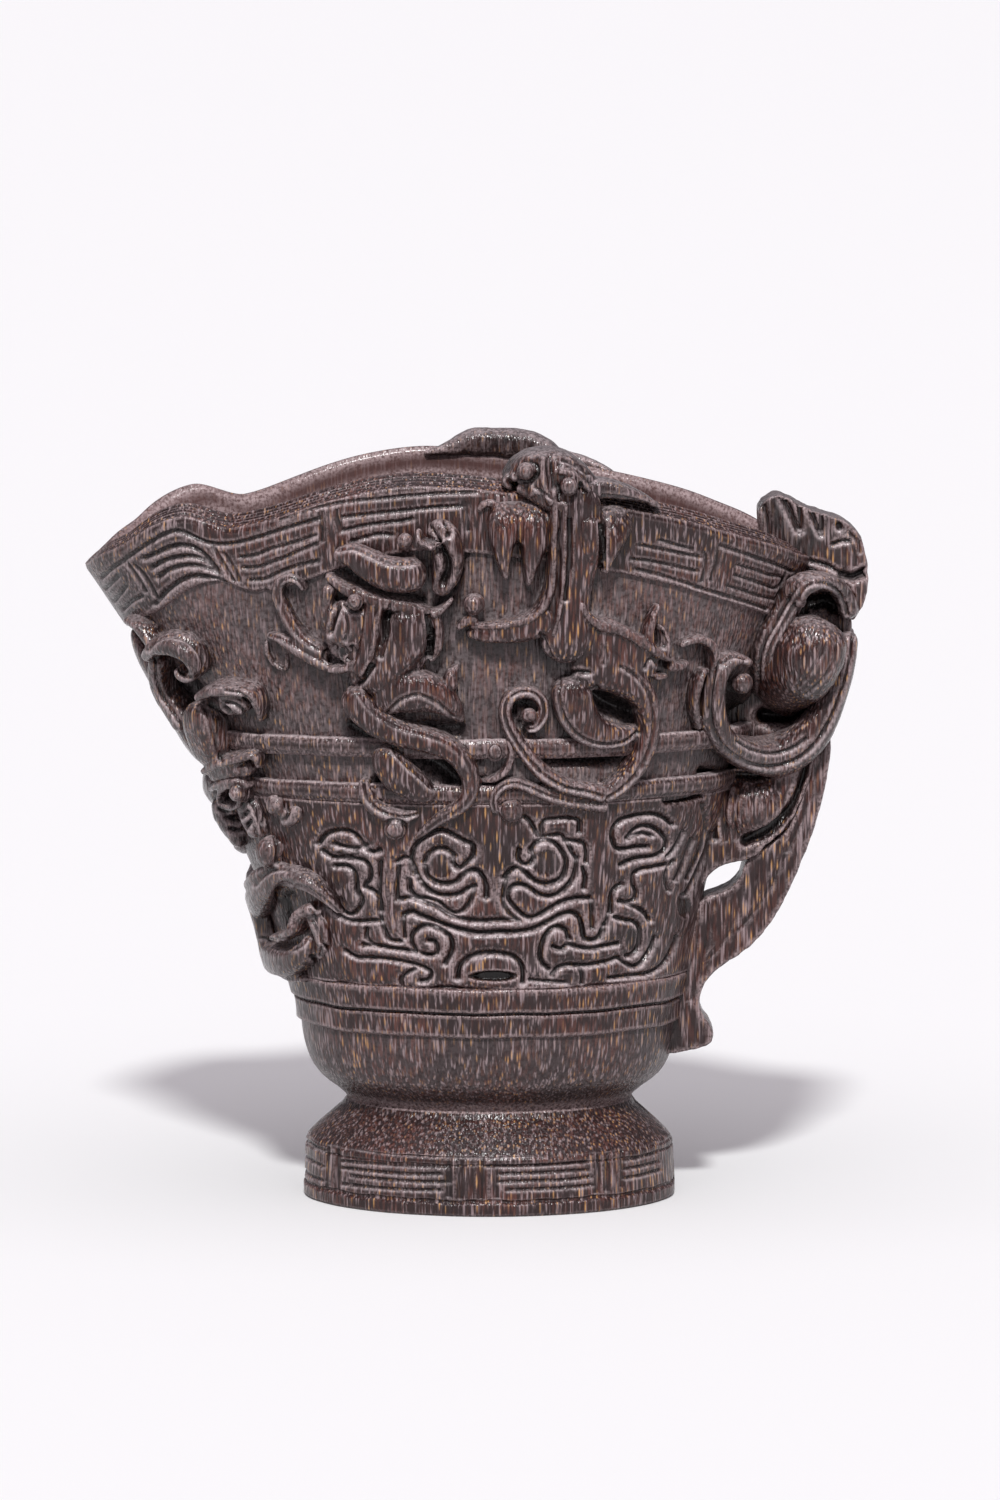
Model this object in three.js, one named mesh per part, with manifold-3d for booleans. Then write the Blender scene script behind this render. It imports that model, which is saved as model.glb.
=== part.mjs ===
// Carved libation cup: a boat-shaped bowl with a pouring lip and a handle, on a waisted oval foot,
// with hornless dragons climbing over its walls and its rim.
// Millimetres, +Z up. The pouring lip points along -X, the handle along +X, and the front faces -Y.
// The origin is the centre of the foot's flat underside.
import * as THREE from "three";
import { mergeVertices } from "three/addons/utils/BufferGeometryUtils.js";
import Module from "manifold-3d";

const wasm = await Module();
wasm.setup();

// Gaps between neighbouring pieces
const CLEARANCE = 0.3;

// Foot, an oval measured by its half length along X and its half width along Y
const PLINTH_HEIGHT = 2.2;
const PLINTH_HALF_LENGTH = 28.8;
const PLINTH_HALF_WIDTH = 21.7;
const FOOT_HALF_LENGTH = 27.6;
const FOOT_HALF_WIDTH = 20.5;
const FOOT_WALL_HEIGHT = 6.0;
const FOOT_SLOPE_HEIGHT = 7.0;
const FOOT_BAND_RELIEF = 1.0;
const WAIST_HALF_LENGTH = 22.3;
const WAIST_HALF_WIDTH = 16.8;

// Bowl, with heights measured up from the waist
const BASIN_HEIGHT = 12.5;
const BASIN_HALF_LENGTH = 29.0;
const BASIN_HALF_WIDTH = 22.0;
const SPOUT_HEIGHT = 82.8;
const SPOUT_REACH = 61.4;
const HANDLE_END_REACH = 48.5;
const MOUTH_HALF_WIDTH = 28.0;
const FLARE_POWER = 1.5;
const WALL = 3.5;
const FLOOR_HEIGHT = 9.0;
const FLOOR_ROUNDING = 5.0;

// Rim, a line that waves up and down round the mouth
const HANDLE_END_HEIGHT = 83.8;
const CREST_HEIGHT = 96.8;
const PINCH_HEIGHT = 90.0;
const LIP_SHOULDER_HEIGHT = 91.6;
const LIP_SLOPE_HEIGHT = 86.2;
const LIP_RISE = 1.8;
const PINCH_ANGLE = 124;
const PINCH_SPREAD = 11;
const PINCH_DEPTH = 2.2;

// Bands that go round the bowl, from the bottom up
const STEP_HEIGHT = 3.8;
const LOWER_STEP_RELIEF = 0.9;
const UPPER_STEP_RELIEF = 1.4;
const MASK_BAND_HEIGHT = 28.5;
const MASK_BAND_RELIEF = 1.0;
const FILLET_HEIGHT = 3.0;
const FILLET_RELIEF = 1.7;
const CHANNEL_HEIGHT = 4.0;
const RIM_BAND_HEIGHT = 9.5;
const RIM_BAND_RELIEF = 0.8;

// Handle
const HANDLE_THICKNESS = 9.0;
const HANDLE_REACH = 15.4;
const TORSO_THICKNESS = 8.0;

// Fineness of the faces
const ROUND_STEPS = 48;
const STRAND_STEP = 4.0;
const FINE = 1e-3;

// Heights that follow from the sizes above
const footHeight = PLINTH_HEIGHT + FOOT_WALL_HEIGHT + FOOT_SLOPE_HEIGHT;
const lowerStepBase = BASIN_HEIGHT;
const upperStepBase = lowerStepBase + STEP_HEIGHT;
const maskBase = upperStepBase + STEP_HEIGHT;
const lowerFilletBase = maskBase + MASK_BAND_HEIGHT;
const upperFilletBase = lowerFilletBase + FILLET_HEIGHT + CHANNEL_HEIGHT;

// The dragons are drawn for a crest 96.8 high, and stretch with the real one.
const stretch = CREST_HEIGHT / 96.8;

// What lies beside the handle's end follows the rim there, which is drawn 83.8 high, the more the higher it is.
const endShift = HANDLE_END_HEIGHT / stretch - 83.8;
const besideEnd = (height) => height + endShift * THREE.MathUtils.clamp((height - 50) / 33.8, 0, 1);

const bamboo = new THREE.MeshStandardMaterial({ color: 0x3f312b, roughness: 0.5, metalness: 0 });
const wornBamboo = new THREE.MeshStandardMaterial({ color: 0x4b3c35, roughness: 0.55, metalness: 0 });

const mix = THREE.MathUtils.lerp;
const radians = THREE.MathUtils.degToRad;

// A smooth line through [position, value] knots, level at both ends.
function smoothThrough(knots, at) {
  const last = knots.length - 1;
  if (at <= knots[0][0]) return knots[0][1];
  if (at >= knots[last][0]) return knots[last][1];
  const i = knots.findIndex(([position]) => position > at) - 1;
  const slope = (k) =>
    k === 0 || k === last
      ? 0
      : (knots[k + 1][1] - knots[k - 1][1]) / (knots[k + 1][0] - knots[k - 1][0]);
  const span = knots[i + 1][0] - knots[i][0];
  const t = (at - knots[i][0]) / span;
  const rise = t * t * (3 - 2 * t);
  return (
    mix(knots[i][1], knots[i + 1][1], rise) +
    span * t * (1 - t) * ((1 - t) * slope(i) - t * slope(i + 1))
  );
}

// How far the bowl's round underside has swung out, and the foot's shoulder drawn in, by shares of height.
const UNDERSIDE = [[0, 0], [0.1, 0.09], [0.22, 0.4], [0.38, 0.7], [0.66, 0.91], [1, 1]];
const SHOULDER = [[0, 0], [0.25, 0.1], [0.5, 0.33], [0.75, 0.7], [0.9, 0.93], [1, 1]];

// Half lengths and half width of the bowl's outside at a height above the waist.
function bowlSection(height) {
  if (height <= BASIN_HEIGHT) {
    const swing = smoothThrough(UNDERSIDE, height / BASIN_HEIGHT);
    const half = mix(WAIST_HALF_LENGTH, BASIN_HALF_LENGTH, swing);
    return { spout: half, handle: half, width: mix(WAIST_HALF_WIDTH, BASIN_HALF_WIDTH, swing) };
  }
  const share = (height - BASIN_HEIGHT) / (SPOUT_HEIGHT - BASIN_HEIGHT);
  const flare = share ** FLARE_POWER;
  return {
    spout: mix(BASIN_HALF_LENGTH, SPOUT_REACH, flare),
    handle: mix(BASIN_HALF_LENGTH, HANDLE_END_REACH, flare),
    width: mix(BASIN_HALF_WIDTH, MOUTH_HALF_WIDTH, share),
  };
}

// The angle from the handle, 0, round either side to the pouring lip, 180.
function foldedAngle(angle) {
  const turned = ((angle % 360) + 360) % 360;
  return Math.min(turned, 360 - turned);
}

function rimHeight(angle) {
  const knots = [
    [0, HANDLE_END_HEIGHT],
    [90, CREST_HEIGHT],
    [PINCH_ANGLE - 2, PINCH_HEIGHT],
    [PINCH_ANGLE + 7, LIP_SHOULDER_HEIGHT],
    [150, LIP_SLOPE_HEIGHT],
    [180, SPOUT_HEIGHT],
  ];
  return smoothThrough(knots, foldedAngle(angle));
}

// A point of the bowl's outside, pushed out sideways by a distance. Angle 90 is the front, 270 the back.
function wallPoint(angle, height, out = 0) {
  const { spout, handle, width } = bowlSection(height);
  const length = (spout + handle) / 2;
  const centre = (handle - spout) / 2;
  const turn = radians(angle);
  const facing = new THREE.Vector2(Math.cos(turn) / length, -Math.sin(turn) / width).normalize();
  const upTheWall = (height - upperFilletBase) / (PINCH_HEIGHT - upperFilletBase);
  const nearRim = THREE.MathUtils.clamp(upTheWall, 0, 1);
  const fromPinch = (foldedAngle(angle) - PINCH_ANGLE) / PINCH_SPREAD;
  const push = out - PINCH_DEPTH * nearRim ** 2 * Math.exp(-fromPinch * fromPinch);
  return new THREE.Vector3(
    centre + length * Math.cos(turn) + facing.x * push,
    -width * Math.sin(turn) + facing.y * push,
    height,
  );
}

function wallNormal(angle, height) {
  const across = wallPoint(angle + FINE, height).sub(wallPoint(angle - FINE, height));
  const up = wallPoint(angle, height + FINE).sub(wallPoint(angle, height - FINE));
  return up.cross(across).normalize();
}

// Geometry from rings of points, each anticlockwise about the way that the rings go.
// A loop joins its last ring to its first, and anything else is capped at both ends.
function loft(rings, loop = false) {
  const count = rings[0].length;
  const points = rings.flat();
  const faces = [];
  const joins = loop ? rings.length : rings.length - 1;
  for (let j = 0; j < joins; j++) {
    const low = j * count;
    const high = ((j + 1) % rings.length) * count;
    for (let i = 0; i < count; i++) {
      const next = (i + 1) % count;
      faces.push(low + i, low + next, high + next, low + i, high + next, high + i);
    }
  }
  if (!loop) {
    const middle = (ring) =>
      ring.reduce((sum, p) => sum.add(p), new THREE.Vector3()).divideScalar(ring.length);
    const start = points.push(middle(rings[0])) - 1;
    const end = points.push(middle(rings.at(-1))) - 1;
    const top = (rings.length - 1) * count;
    for (let i = 0; i < count; i++) {
      const next = (i + 1) % count;
      faces.push(start, next, i, end, top + i, top + next);
    }
  }
  const geometry = new THREE.BufferGeometry().setFromPoints(points);
  geometry.setIndex(faces);
  geometry.computeVertexNormals();
  return geometry;
}

function toSolid(geometry) {
  const bare = geometry.clone();
  bare.deleteAttribute("normal");
  bare.deleteAttribute("uv");
  const merged = mergeVertices(bare, FINE);
  const vertProperties = new Float32Array(merged.attributes.position.array);
  const triVerts = new Uint32Array(merged.index.array);
  return new wasm.Manifold(new wasm.Mesh({ numProp: 3, vertProperties, triVerts }));
}

function toGeometry(solid) {
  const mesh = solid.getMesh();
  const geometry = new THREE.BufferGeometry();
  geometry.setAttribute("position", new THREE.BufferAttribute(mesh.vertProperties, mesh.numProp));
  geometry.setIndex(new THREE.BufferAttribute(mesh.triVerts, 1));
  geometry.computeVertexNormals();
  return geometry;
}

const joined = (solids) => solids.reduce((whole, solid) => whole.add(solid));
const cutBy = (solid, cutters) => cutters.reduce((rest, cutter) => rest.subtract(cutter), solid);

const roundAngles = Array.from({ length: ROUND_STEPS }, (_, i) => (-360 * i) / ROUND_STEPS);
const ringAt = (pointAt) => roundAngles.map((angle) => pointAt(angle));
const oval = (halfLength, halfWidth, height) =>
  ringAt((angle) => {
    const turn = radians(angle);
    return new THREE.Vector3(halfLength * Math.cos(turn), -halfWidth * Math.sin(turn), height);
  });

// Foot: a flat plinth, and a wall and shoulder that draw in to the waist
function plinthGeometry() {
  return loft([
    oval(PLINTH_HALF_LENGTH, PLINTH_HALF_WIDTH, 0),
    oval(PLINTH_HALF_LENGTH, PLINTH_HALF_WIDTH, PLINTH_HEIGHT - CLEARANCE),
  ]);
}

function footGeometry() {
  const wallTop = PLINTH_HEIGHT + FOOT_WALL_HEIGHT;
  const shoulder = SHOULDER.map(([share, drawn]) =>
    oval(
      mix(FOOT_HALF_LENGTH, WAIST_HALF_LENGTH, drawn),
      mix(FOOT_HALF_WIDTH, WAIST_HALF_WIDTH, drawn),
      wallTop + FOOT_SLOPE_HEIGHT * share,
    ),
  );
  return loft([oval(FOOT_HALF_LENGTH, FOOT_HALF_WIDTH, PLINTH_HEIGHT), ...shoulder]);
}

function footBandGeometry() {
  const low = PLINTH_HEIGHT + CLEARANCE;
  const high = PLINTH_HEIGHT + FOOT_WALL_HEIGHT - CLEARANCE;
  const ring = (out, height) => oval(FOOT_HALF_LENGTH + out, FOOT_HALF_WIDTH + out, height);
  return loft(
    [
      ring(FOOT_BAND_RELIEF, low),
      ring(FOOT_BAND_RELIEF, high - FOOT_BAND_RELIEF / 2),
      ring(CLEARANCE * 2, high),
      ring(CLEARANCE, high),
      ring(CLEARANCE, low),
    ],
    true,
  );
}

// Bowl shell, with every face moved out by a distance, so that what is set against it can be cut to fit
const OUTSIDE_SHARES = [0.07, 0.25, 0.42, 0.58, 0.72, 0.86, 1];
const INSIDE_SHARES = [1, 0.8, 0.58, 0.36, 0.15, 0];
function bowlShell(grow = 0) {
  const underside = UNDERSIDE.map(([share]) => ringAt((a) => wallPoint(a, BASIN_HEIGHT * share, grow)));
  const outside = OUTSIDE_SHARES.map((share) =>
    ringAt((a) => wallPoint(a, mix(BASIN_HEIGHT, rimHeight(a) + grow, share), grow)),
  );
  const floorTop = FLOOR_HEIGHT + FLOOR_ROUNDING;
  const inside = INSIDE_SHARES.map((share) =>
    ringAt((a) => wallPoint(a, mix(floorTop, rimHeight(a) + LIP_RISE + grow, share), -WALL - grow)),
  );
  const floor = [0.4, 1].map((share) =>
    ringAt((a) =>
      wallPoint(a, floorTop - FLOOR_ROUNDING * share, -WALL - grow - FLOOR_ROUNDING * 1.4 * share ** 2),
    ),
  );
  return loft([...underside, ...outside, ...inside, ...floor]);
}

// A band round the bowl: its profile lists how far out and how high each edge lies.
function bandGeometry(profile) {
  return loft(
    profile.map(([out, heightAt]) => ringAt((a) => wallPoint(a, heightAt(a), out))),
    true,
  );
}

// A flat-faced band between two heights, with its upper edge eased.
function flatBand(base, top, relief, grow = 0) {
  const low = base - grow;
  const high = top - CLEARANCE + grow;
  const inner = CLEARANCE - grow;
  const ease = Math.min(relief, top - base) / 3;
  return bandGeometry([
    [inner, () => low],
    [relief + grow, () => low],
    [relief + grow, () => high - ease],
    [relief + grow - ease, () => high],
    [inner, () => high],
  ]);
}

// A rounded fillet between two heights.
function filletBand(base, grow = 0) {
  const low = base - grow;
  const high = base + FILLET_HEIGHT - CLEARANCE + grow;
  const crown = FILLET_RELIEF + grow;
  const inner = CLEARANCE - grow;
  return bandGeometry([
    [inner, () => low],
    [crown * 0.8, () => low],
    [crown, () => mix(low, high, 0.3)],
    [crown, () => mix(low, high, 0.7)],
    [crown * 0.8, () => high],
    [inner, () => high],
  ]);
}

// The fret band under the rim, which rises and falls with it.
function rimBand(grow = 0) {
  const inner = CLEARANCE - grow;
  const outer = RIM_BAND_RELIEF + grow;
  const low = (a) => rimHeight(a) - RIM_BAND_HEIGHT - grow;
  const high = (a) => rimHeight(a) - CLEARANCE + grow;
  return bandGeometry([[inner, low], [outer, low], [outer, high], [inner, high]]);
}

const bands = {
  lower_step_ring: (grow) => flatBand(lowerStepBase, upperStepBase, LOWER_STEP_RELIEF, grow),
  upper_step_ring: (grow) => flatBand(upperStepBase, maskBase, UPPER_STEP_RELIEF, grow),
  mask_band: (grow) => flatBand(maskBase, lowerFilletBase, MASK_BAND_RELIEF, grow),
  lower_fillet: (grow) => filletBand(lowerFilletBase, grow),
  upper_fillet: (grow) => filletBand(upperFilletBase, grow),
  rim_fret_band: (grow) => rimBand(grow),
};

// What the carving is set against: the bowl and its bands, each a clearance larger.
const seats = [
  toSolid(bowlShell(CLEARANCE)),
  ...Object.values(bands).map((band) => toSolid(band(CLEARANCE))),
];

// A carved strand: a rounded ridge that follows a route over the wall.
// The route lists angle, height and, where it leaves the wall, the lift of its base.
// Width and relief go from the first value at its start to the second at its end, and swell in between.
function strand(route, { width, relief, swell = 0 }, side = 1, grow = 0) {
  const drawn = route.map(([angle, height, lift = 0]) => new THREE.Vector3(angle, height, lift));
  const line = new THREE.CatmullRomCurve3(drawn, false, "centripetal");
  const placeAt = (share) => {
    const p = line.getPoint(share);
    const angle = p.x * side;
    const height = p.y * stretch;
    const normal = wallNormal(angle, height);
    const point = wallPoint(angle, height).addScaledVector(normal, p.z * stretch);
    return { point, normal };
  };
  let length = 0;
  for (let i = 1; i < route.length; i++) {
    const from = placeAt((i - 1) / (route.length - 1)).point;
    length += placeAt(i / (route.length - 1)).point.distanceTo(from);
  }
  const steps = Math.max(3, Math.round(length / STRAND_STEP));
  const rings = [];
  for (let i = 0; i <= steps; i++) {
    const share = i / steps;
    const { point, normal } = placeAt(share);
    const ahead = placeAt(Math.min(share + FINE, 1)).point;
    const way = ahead.sub(placeAt(Math.max(share - FINE, 0)).point).normalize();
    const across = normal.clone().cross(way).normalize();
    const bulge = 1 + swell * Math.sin(Math.PI * share);
    const half = (mix(...width, share) / 2) * bulge * stretch + grow;
    const crown = mix(...relief, share) * bulge * stretch + grow;
    const corner = ([c, h]) =>
      point.clone().addScaledVector(across, c * half).addScaledVector(normal, CLEARANCE - grow + h * crown);
    rings.push(STRAND_SECTION.map(corner));
  }
  return toSolid(loft(rings));
}
const STRAND_SECTION = [[-1, 0], [1, 0], [0.78, 0.72], [0, 1], [-0.78, 0.72]];

// A rounded lump with three half sizes: along the rim, out from the wall, and up.
const LUMP_ROUND = 9;
const LUMP_RISE = 6;
function lump(centre, angle, halves, tilt = 0, grow = 0) {
  const geometry = new THREE.SphereGeometry(1, LUMP_ROUND, LUMP_RISE);
  geometry.scale(...halves.map((half) => half * stretch + grow));
  geometry.rotateY(radians(tilt));
  const along = wallPoint(angle + FINE, centre.z).sub(wallPoint(angle - FINE, centre.z)).normalize();
  const up = new THREE.Vector3(0, 0, 1);
  const out = up.clone().cross(along);
  geometry.applyMatrix4(new THREE.Matrix4().makeBasis(along, out, up).setPosition(centre));
  return toSolid(geometry);
}

// A place on the rim: how far above it and how far out from the wall.
function onRim(angle, rise, out) {
  const rim = rimHeight(angle);
  const push = wallPoint(angle, rim, out * stretch).sub(wallPoint(angle, rim));
  return wallPoint(angle, rim + rise * stretch).add(push);
}

// Several limbs carved as one, on the front or the back, turned round the bowl by an angle.
function limbs(list, side, turn, grow) {
  const turned = (route) => route.map(([angle, ...rest]) => [angle + turn, ...rest]);
  return joined(list.map(({ route, ...form }) => strand(turned(route), form, side, grow)));
}

// Dragon that climbs the middle of the wall and looks over the rim
function rimDragonHead(side, turn, grow) {
  const at = (angle) => (angle + turn) * side;
  return joined([
    lump(onRim(at(74), 2.2, -0.5), at(74), [5.6, 4.6, 4.2], 0, grow),
    lump(onRim(at(79), 1.2, -1.5), at(79), [3.4, 3.4, 3.0], 0, grow),
    lump(onRim(at(67.5), 1.0, 0.5), at(67.5), [4.4, 2.6, 1.9], 14, grow),
    lump(onRim(at(74), -2.2, 2.2), at(74), [3.6, 2.6, 3.6], 0, grow),
  ]);
}

const RIM_DRAGON_BODY = [
  {
    route: [[73, 89], [72.5, 86], [71, 81], [69, 76], [66, 71], [64, 66]],
    width: [5.2, 8],
    relief: [4, 4.6],
  },
  {
    route: [[71.5, 82], [74.5, 78.4], [79, 75.9], [84, 74.9], [88, 74.8]],
    width: [4.4, 3],
    relief: [4, 3],
  },
  {
    route: [[69, 77], [63, 74.3], [57, 71.4], [51, 69.4], [46.5, 70.4]],
    width: [6, 3.4],
    relief: [4.2, 3],
  },
  {
    route: [[65, 68], [69, 63.7], [68, 59.8], [63, 57.2], [56.5, 56.9]],
    width: [6, 4.4],
    relief: [4.4, 3.4],
  },
  {
    route: [[63, 68], [56, 65.2], [52.2, 60.7], [51.8, 55.6], [55, 51.8], [58.5, 49.6]],
    width: [5, 2.8],
    relief: [4.4, 3],
  },
];

const RIM_DRAGON_TAIL = [
  {
    route: [
      [60, 49], [68, 49.9], [74.5, 52], [80.2, 55.4], [83, 59.2],
      [82.2, 62.3], [79.2, 63.9], [76.2, 62.7], [76.6, 60.4],
    ],
    width: [2.8, 2],
    relief: [3.2, 2.4],
    swell: 0.2,
  },
  {
    route: [[60, 48.6], [68.8, 48.6], [74.5, 50.2], [80, 52.2], [83.5, 51.2], [85.2, 49], [82.5, 47.4]],
    width: [2.8, 2.4],
    relief: [3, 2.4],
  },
];

// Dragon that crouches on the wall towards the pouring lip
const WALL_DRAGON_HEAD = [
  {
    route: [[99.5, 77], [103.5, 74.5], [107.5, 72.6], [110, 71.6]],
    width: [8.4, 5],
    relief: [4.6, 3.6],
    swell: 0.1,
  },
  {
    route: [[105, 71.6], [110, 69.2], [113, 68.6], [118, 71.6], [122.5, 74]],
    width: [3.6, 1.6],
    relief: [3, 1.2],
  },
  {
    route: [[108, 73.4], [112, 73.4], [115.5, 75.6], [116.5, 78.6], [114.5, 81.5], [117, 82]],
    width: [4, 1.8],
    relief: [3, 1.4],
  },
];

const WALL_DRAGON_BODY = [
  {
    route: [[95.6, 81], [96.6, 76], [98.4, 70.5], [103, 66], [107.6, 63.6]],
    width: [7, 6.4],
    relief: [4.4, 4.2],
    swell: 0.12,
  },
  {
    route: [[96, 79.5], [92.6, 77.4], [91.4, 80], [93.4, 83.4], [97.5, 82.4], [102, 82.2], [106.6, 85]],
    width: [4, 3.6],
    relief: [3.6, 3],
  },
  {
    route: [[102, 66], [97.5, 66.4], [93.4, 64.9], [90.6, 62]],
    width: [6.2, 2],
    relief: [4, 2],
  },
];

const WALL_DRAGON_TAIL = [
  {
    route: [
      [109, 64], [107.6, 61.6], [104.4, 59.8], [99.2, 58.8], [93.8, 57.6],
      [90.4, 55], [90.4, 51.7], [93.8, 48.8], [99.2, 46.4], [104, 43.8],
    ],
    width: [5.2, 2.4],
    relief: [4.2, 2.8],
  },
  {
    route: [[105.4, 60], [107.6, 57], [107.2, 54], [104.2, 51.4], [99.4, 49.8], [94.5, 49.6]],
    width: [4.8, 3.4],
    relief: [3.6, 2.8],
  },
];

// Dragon that climbs the narrow end of the bowl under the pouring lip
const SPOUT_CREST = [
  {
    route: [[168, 75], [160, 73.2], [154.5, 70.8]],
    width: [2.6, 3.4],
    relief: [2, 3],
  },
  {
    route: [[156, 70.8], [148, 72.6], [142, 71.6], [140.2, 69.4], [143, 67], [148, 66.4], [150, 68]],
    width: [3.4, 2.6],
    relief: [3.2, 2.8],
  },
];

const SPOUT_SHOULDER = [
  {
    route: [[152, 61], [143, 63.4], [136, 64.6], [132, 63.4]],
    width: [6.5, 4],
    relief: [4.4, 2.6],
    swell: 0.15,
  },
  {
    route: [[151, 62.4], [151, 57], [149.5, 53], [152, 50]],
    width: [6.5, 6.5],
    relief: [4.4, 3.6],
    swell: 0.1,
  },
];

const SPOUT_COIL = [
  {
    route: [
      [132, 30.4], [135, 33.8], [141, 35.8], [152, 35.4], [163, 32], [165, 28],
      [161, 24.2], [151, 22.9], [143, 24.6], [140, 27.4], [142, 30.2],
    ],
    width: [3, 4],
    relief: [2.6, 4.2],
    swell: 0.25,
  },
  {
    route: [[155, 37.6], [151, 41], [144, 42], [140.6, 40.4], [142.6, 38.2]],
    width: [3, 2.6],
    relief: [3, 2.6],
  },
];

// The ridge of the spout dragon's back, down the very end of the bowl, and its face
function spoutSpine(grow) {
  const route = [[180, 72.5], [180, 66], [180, 58], [180, 52]];
  return strand(route, { width: [9, 13], relief: [3.4, 4] }, 1, grow);
}

function spoutFace(grow) {
  const brow = wallPoint(180, 48.5 * stretch, 0.8 * stretch);
  const snout = wallPoint(180, 43.5 * stretch, 1.2 * stretch);
  return joined([lump(brow, 180, [8.6, 3.4, 3.8], 0, grow), lump(snout, 180, [5.4, 3.2, 3.4], 0, grow)]);
}

// Handle: a slab cut to an outline of reach from the wall against height, open above its web
const HANDLE_OUTSIDE = [
  [6.8, 0.03], [8, 0.38], [10, 0.4], [12.4, 0.26], [14.8, 0.21], [18, 0.26],
  [21.8, 0.57], [26, 0.87], [33, 0.98], [41, 1], [50, 0.98], [57, 0.9],
];
const HANDLE_INSIDE = [
  [57, 0.74], [50, 0.78], [43, 0.76], [38.5, 0.68], [35, 0.54], [32, 0.34], [29.5, 0.12], [28.5, 0.03],
];
function handleSolid(grow = 0) {
  const outside = HANDLE_OUTSIDE.map((p) => besideWall(p, grow));
  const inside = HANDLE_INSIDE.map((p) => besideWall(p, -grow));
  const against = [26, 20, 14, 9].map((height) => besideWall([height, 0.03], -grow));
  outside.at(-1).y += grow;
  inside[0].y += grow;
  return slab([...outside, ...inside, ...against], HANDLE_THICKNESS + 2 * grow);
}

// A place beside the wall at the handle's end: its height, and its share of the handle's reach.
function besideWall([height, reach], push) {
  const tall = height * stretch;
  return new THREE.Vector2(wallPoint(0, tall).x + HANDLE_REACH * reach + push, tall);
}

// A flat slab with an outline seen from the front, centred on the cup's long axis.
function slab(outline, thickness) {
  const shape = new THREE.Shape(outline);
  const geometry = new THREE.ExtrudeGeometry(shape, { depth: thickness, bevelEnabled: false });
  geometry.rotateX(Math.PI / 2);
  geometry.translate(0, thickness / 2, 0);
  return toSolid(geometry);
}

// Hips and back of the handle dragon: a slab from the wall out to the strap, then up to the head
const TORSO_OUTSIDE = [[38.5, 0.56], [43, 0.72], [50, 0.74], [57, 0.7], [64, 0.64], [72, 0.6], [78, 0.5]];
function torsoSolid(grow = 0) {
  const outside = TORSO_OUTSIDE.map(([height, reach]) => besideWall([besideEnd(height), reach], grow));
  outside[0].y -= grow;
  outside.at(-1).y += grow;
  const against = [78, 66, 52, 38.5].map((height) => besideWall([besideEnd(height), 0.03], -grow));
  against[0].y += grow;
  against.at(-1).y -= grow;
  return slab([...outside, ...against], TORSO_THICKNESS + 2 * grow);
}

// Loop of the handle dragon's body on one side: from under its head, down and round to a scroll on the wall
function handleLoop(side, grow = 0) {
  const route = [
    [7, 79, 8], [8, 75, 9.2], [10, 66, 9.4], [12, 58, 8.8], [15, 53, 6.6], [21, 52.6, 3], [29, 55.6, 0.4],
    [34.5, 60.5], [37, 65.5], [34, 69.2], [28, 68.6], [25, 65.4], [28.6, 63.4],
  ].map(([angle, height, lift]) => [angle, besideEnd(height), lift]);
  return strand(route, { width: [4.6, 2.8], relief: [4, 3.2], swell: 0.1 }, side, grow);
}

// Thigh of the handle dragon on one side, between the loop and the wall
function handleThigh(side, grow = 0) {
  const route = [[9, 75.5, 3.4], [12, 71, 3], [16, 66, 1.6], [18, 62, 0.2]].map(
    ([angle, height, lift]) => [angle, besideEnd(height), lift],
  );
  return strand(route, { width: [6.4, 5], relief: [5.6, 4.6] }, side, grow);
}

function handleHead(grow = 0) {
  return joined([
    lump(onRim(0, 3.4, 1.5), 0, [6.4, 7.4, 4.6], 0, grow),
    lump(onRim(0, 2.2, 6.4), 0, [5.2, 4.6, 4.4], 0, grow),
    lump(onRim(0, 5.6, -3.6), 0, [5.6, 3.2, 3.8], 0, grow),
    lump(onRim(0, -3.4, 6.8), 0, [5, 3.6, 4.4], 0, grow),
  ]);
}

// Each carving, made a clearance larger to cut those that are set against it
const BACK_TURN = 5;
const FRONT = 1;
const BACK = -1;
const carvings = [];
function addCarving(name, make, material = bamboo) {
  const fitted = carvings.reduce((rest, other) => rest.subtract(other.larger), cutBy(make(0), seats));
  const pieces = fitted.decompose().sort((a, b) => b.volume() - a.volume());
  carvings.push({ name, larger: make(CLEARANCE), solid: pieces[0], material });
}

addCarving("handle_strap", handleSolid);
addCarving("handle_dragon_head", handleHead, wornBamboo);
addCarving("handle_dragon_torso", torsoSolid);
for (const [place, side, turn] of [["front", FRONT, 0], ["back", BACK, BACK_TURN]]) {
  const carve = (list, turned = 0) => (grow) => limbs(list, side, turned, grow);
  addCarving(`${place}_handle_loop`, (grow) => handleLoop(side, grow), wornBamboo);
  addCarving(`${place}_handle_thigh`, (grow) => handleThigh(side, grow), wornBamboo);
  addCarving(`${place}_rim_dragon_head`, (grow) => rimDragonHead(side, turn, grow), wornBamboo);
  addCarving(`${place}_rim_dragon_body`, carve(RIM_DRAGON_BODY, turn));
  addCarving(`${place}_rim_dragon_tail`, carve(RIM_DRAGON_TAIL, turn));
  addCarving(`${place}_wall_dragon_body`, carve(WALL_DRAGON_BODY, turn));
  addCarving(`${place}_wall_dragon_head`, carve(WALL_DRAGON_HEAD, turn), wornBamboo);
  addCarving(`${place}_wall_dragon_tail`, carve(WALL_DRAGON_TAIL, turn));
  addCarving(`${place}_spout_shoulder`, carve(SPOUT_SHOULDER), wornBamboo);
  addCarving(`${place}_spout_crest`, carve(SPOUT_CREST), wornBamboo);
  addCarving(`${place}_spout_coil`, carve(SPOUT_COIL), wornBamboo);
}
addCarving("spout_dragon_spine", spoutSpine, wornBamboo);
addCarving("spout_dragon_face", spoutFace, wornBamboo);

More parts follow.
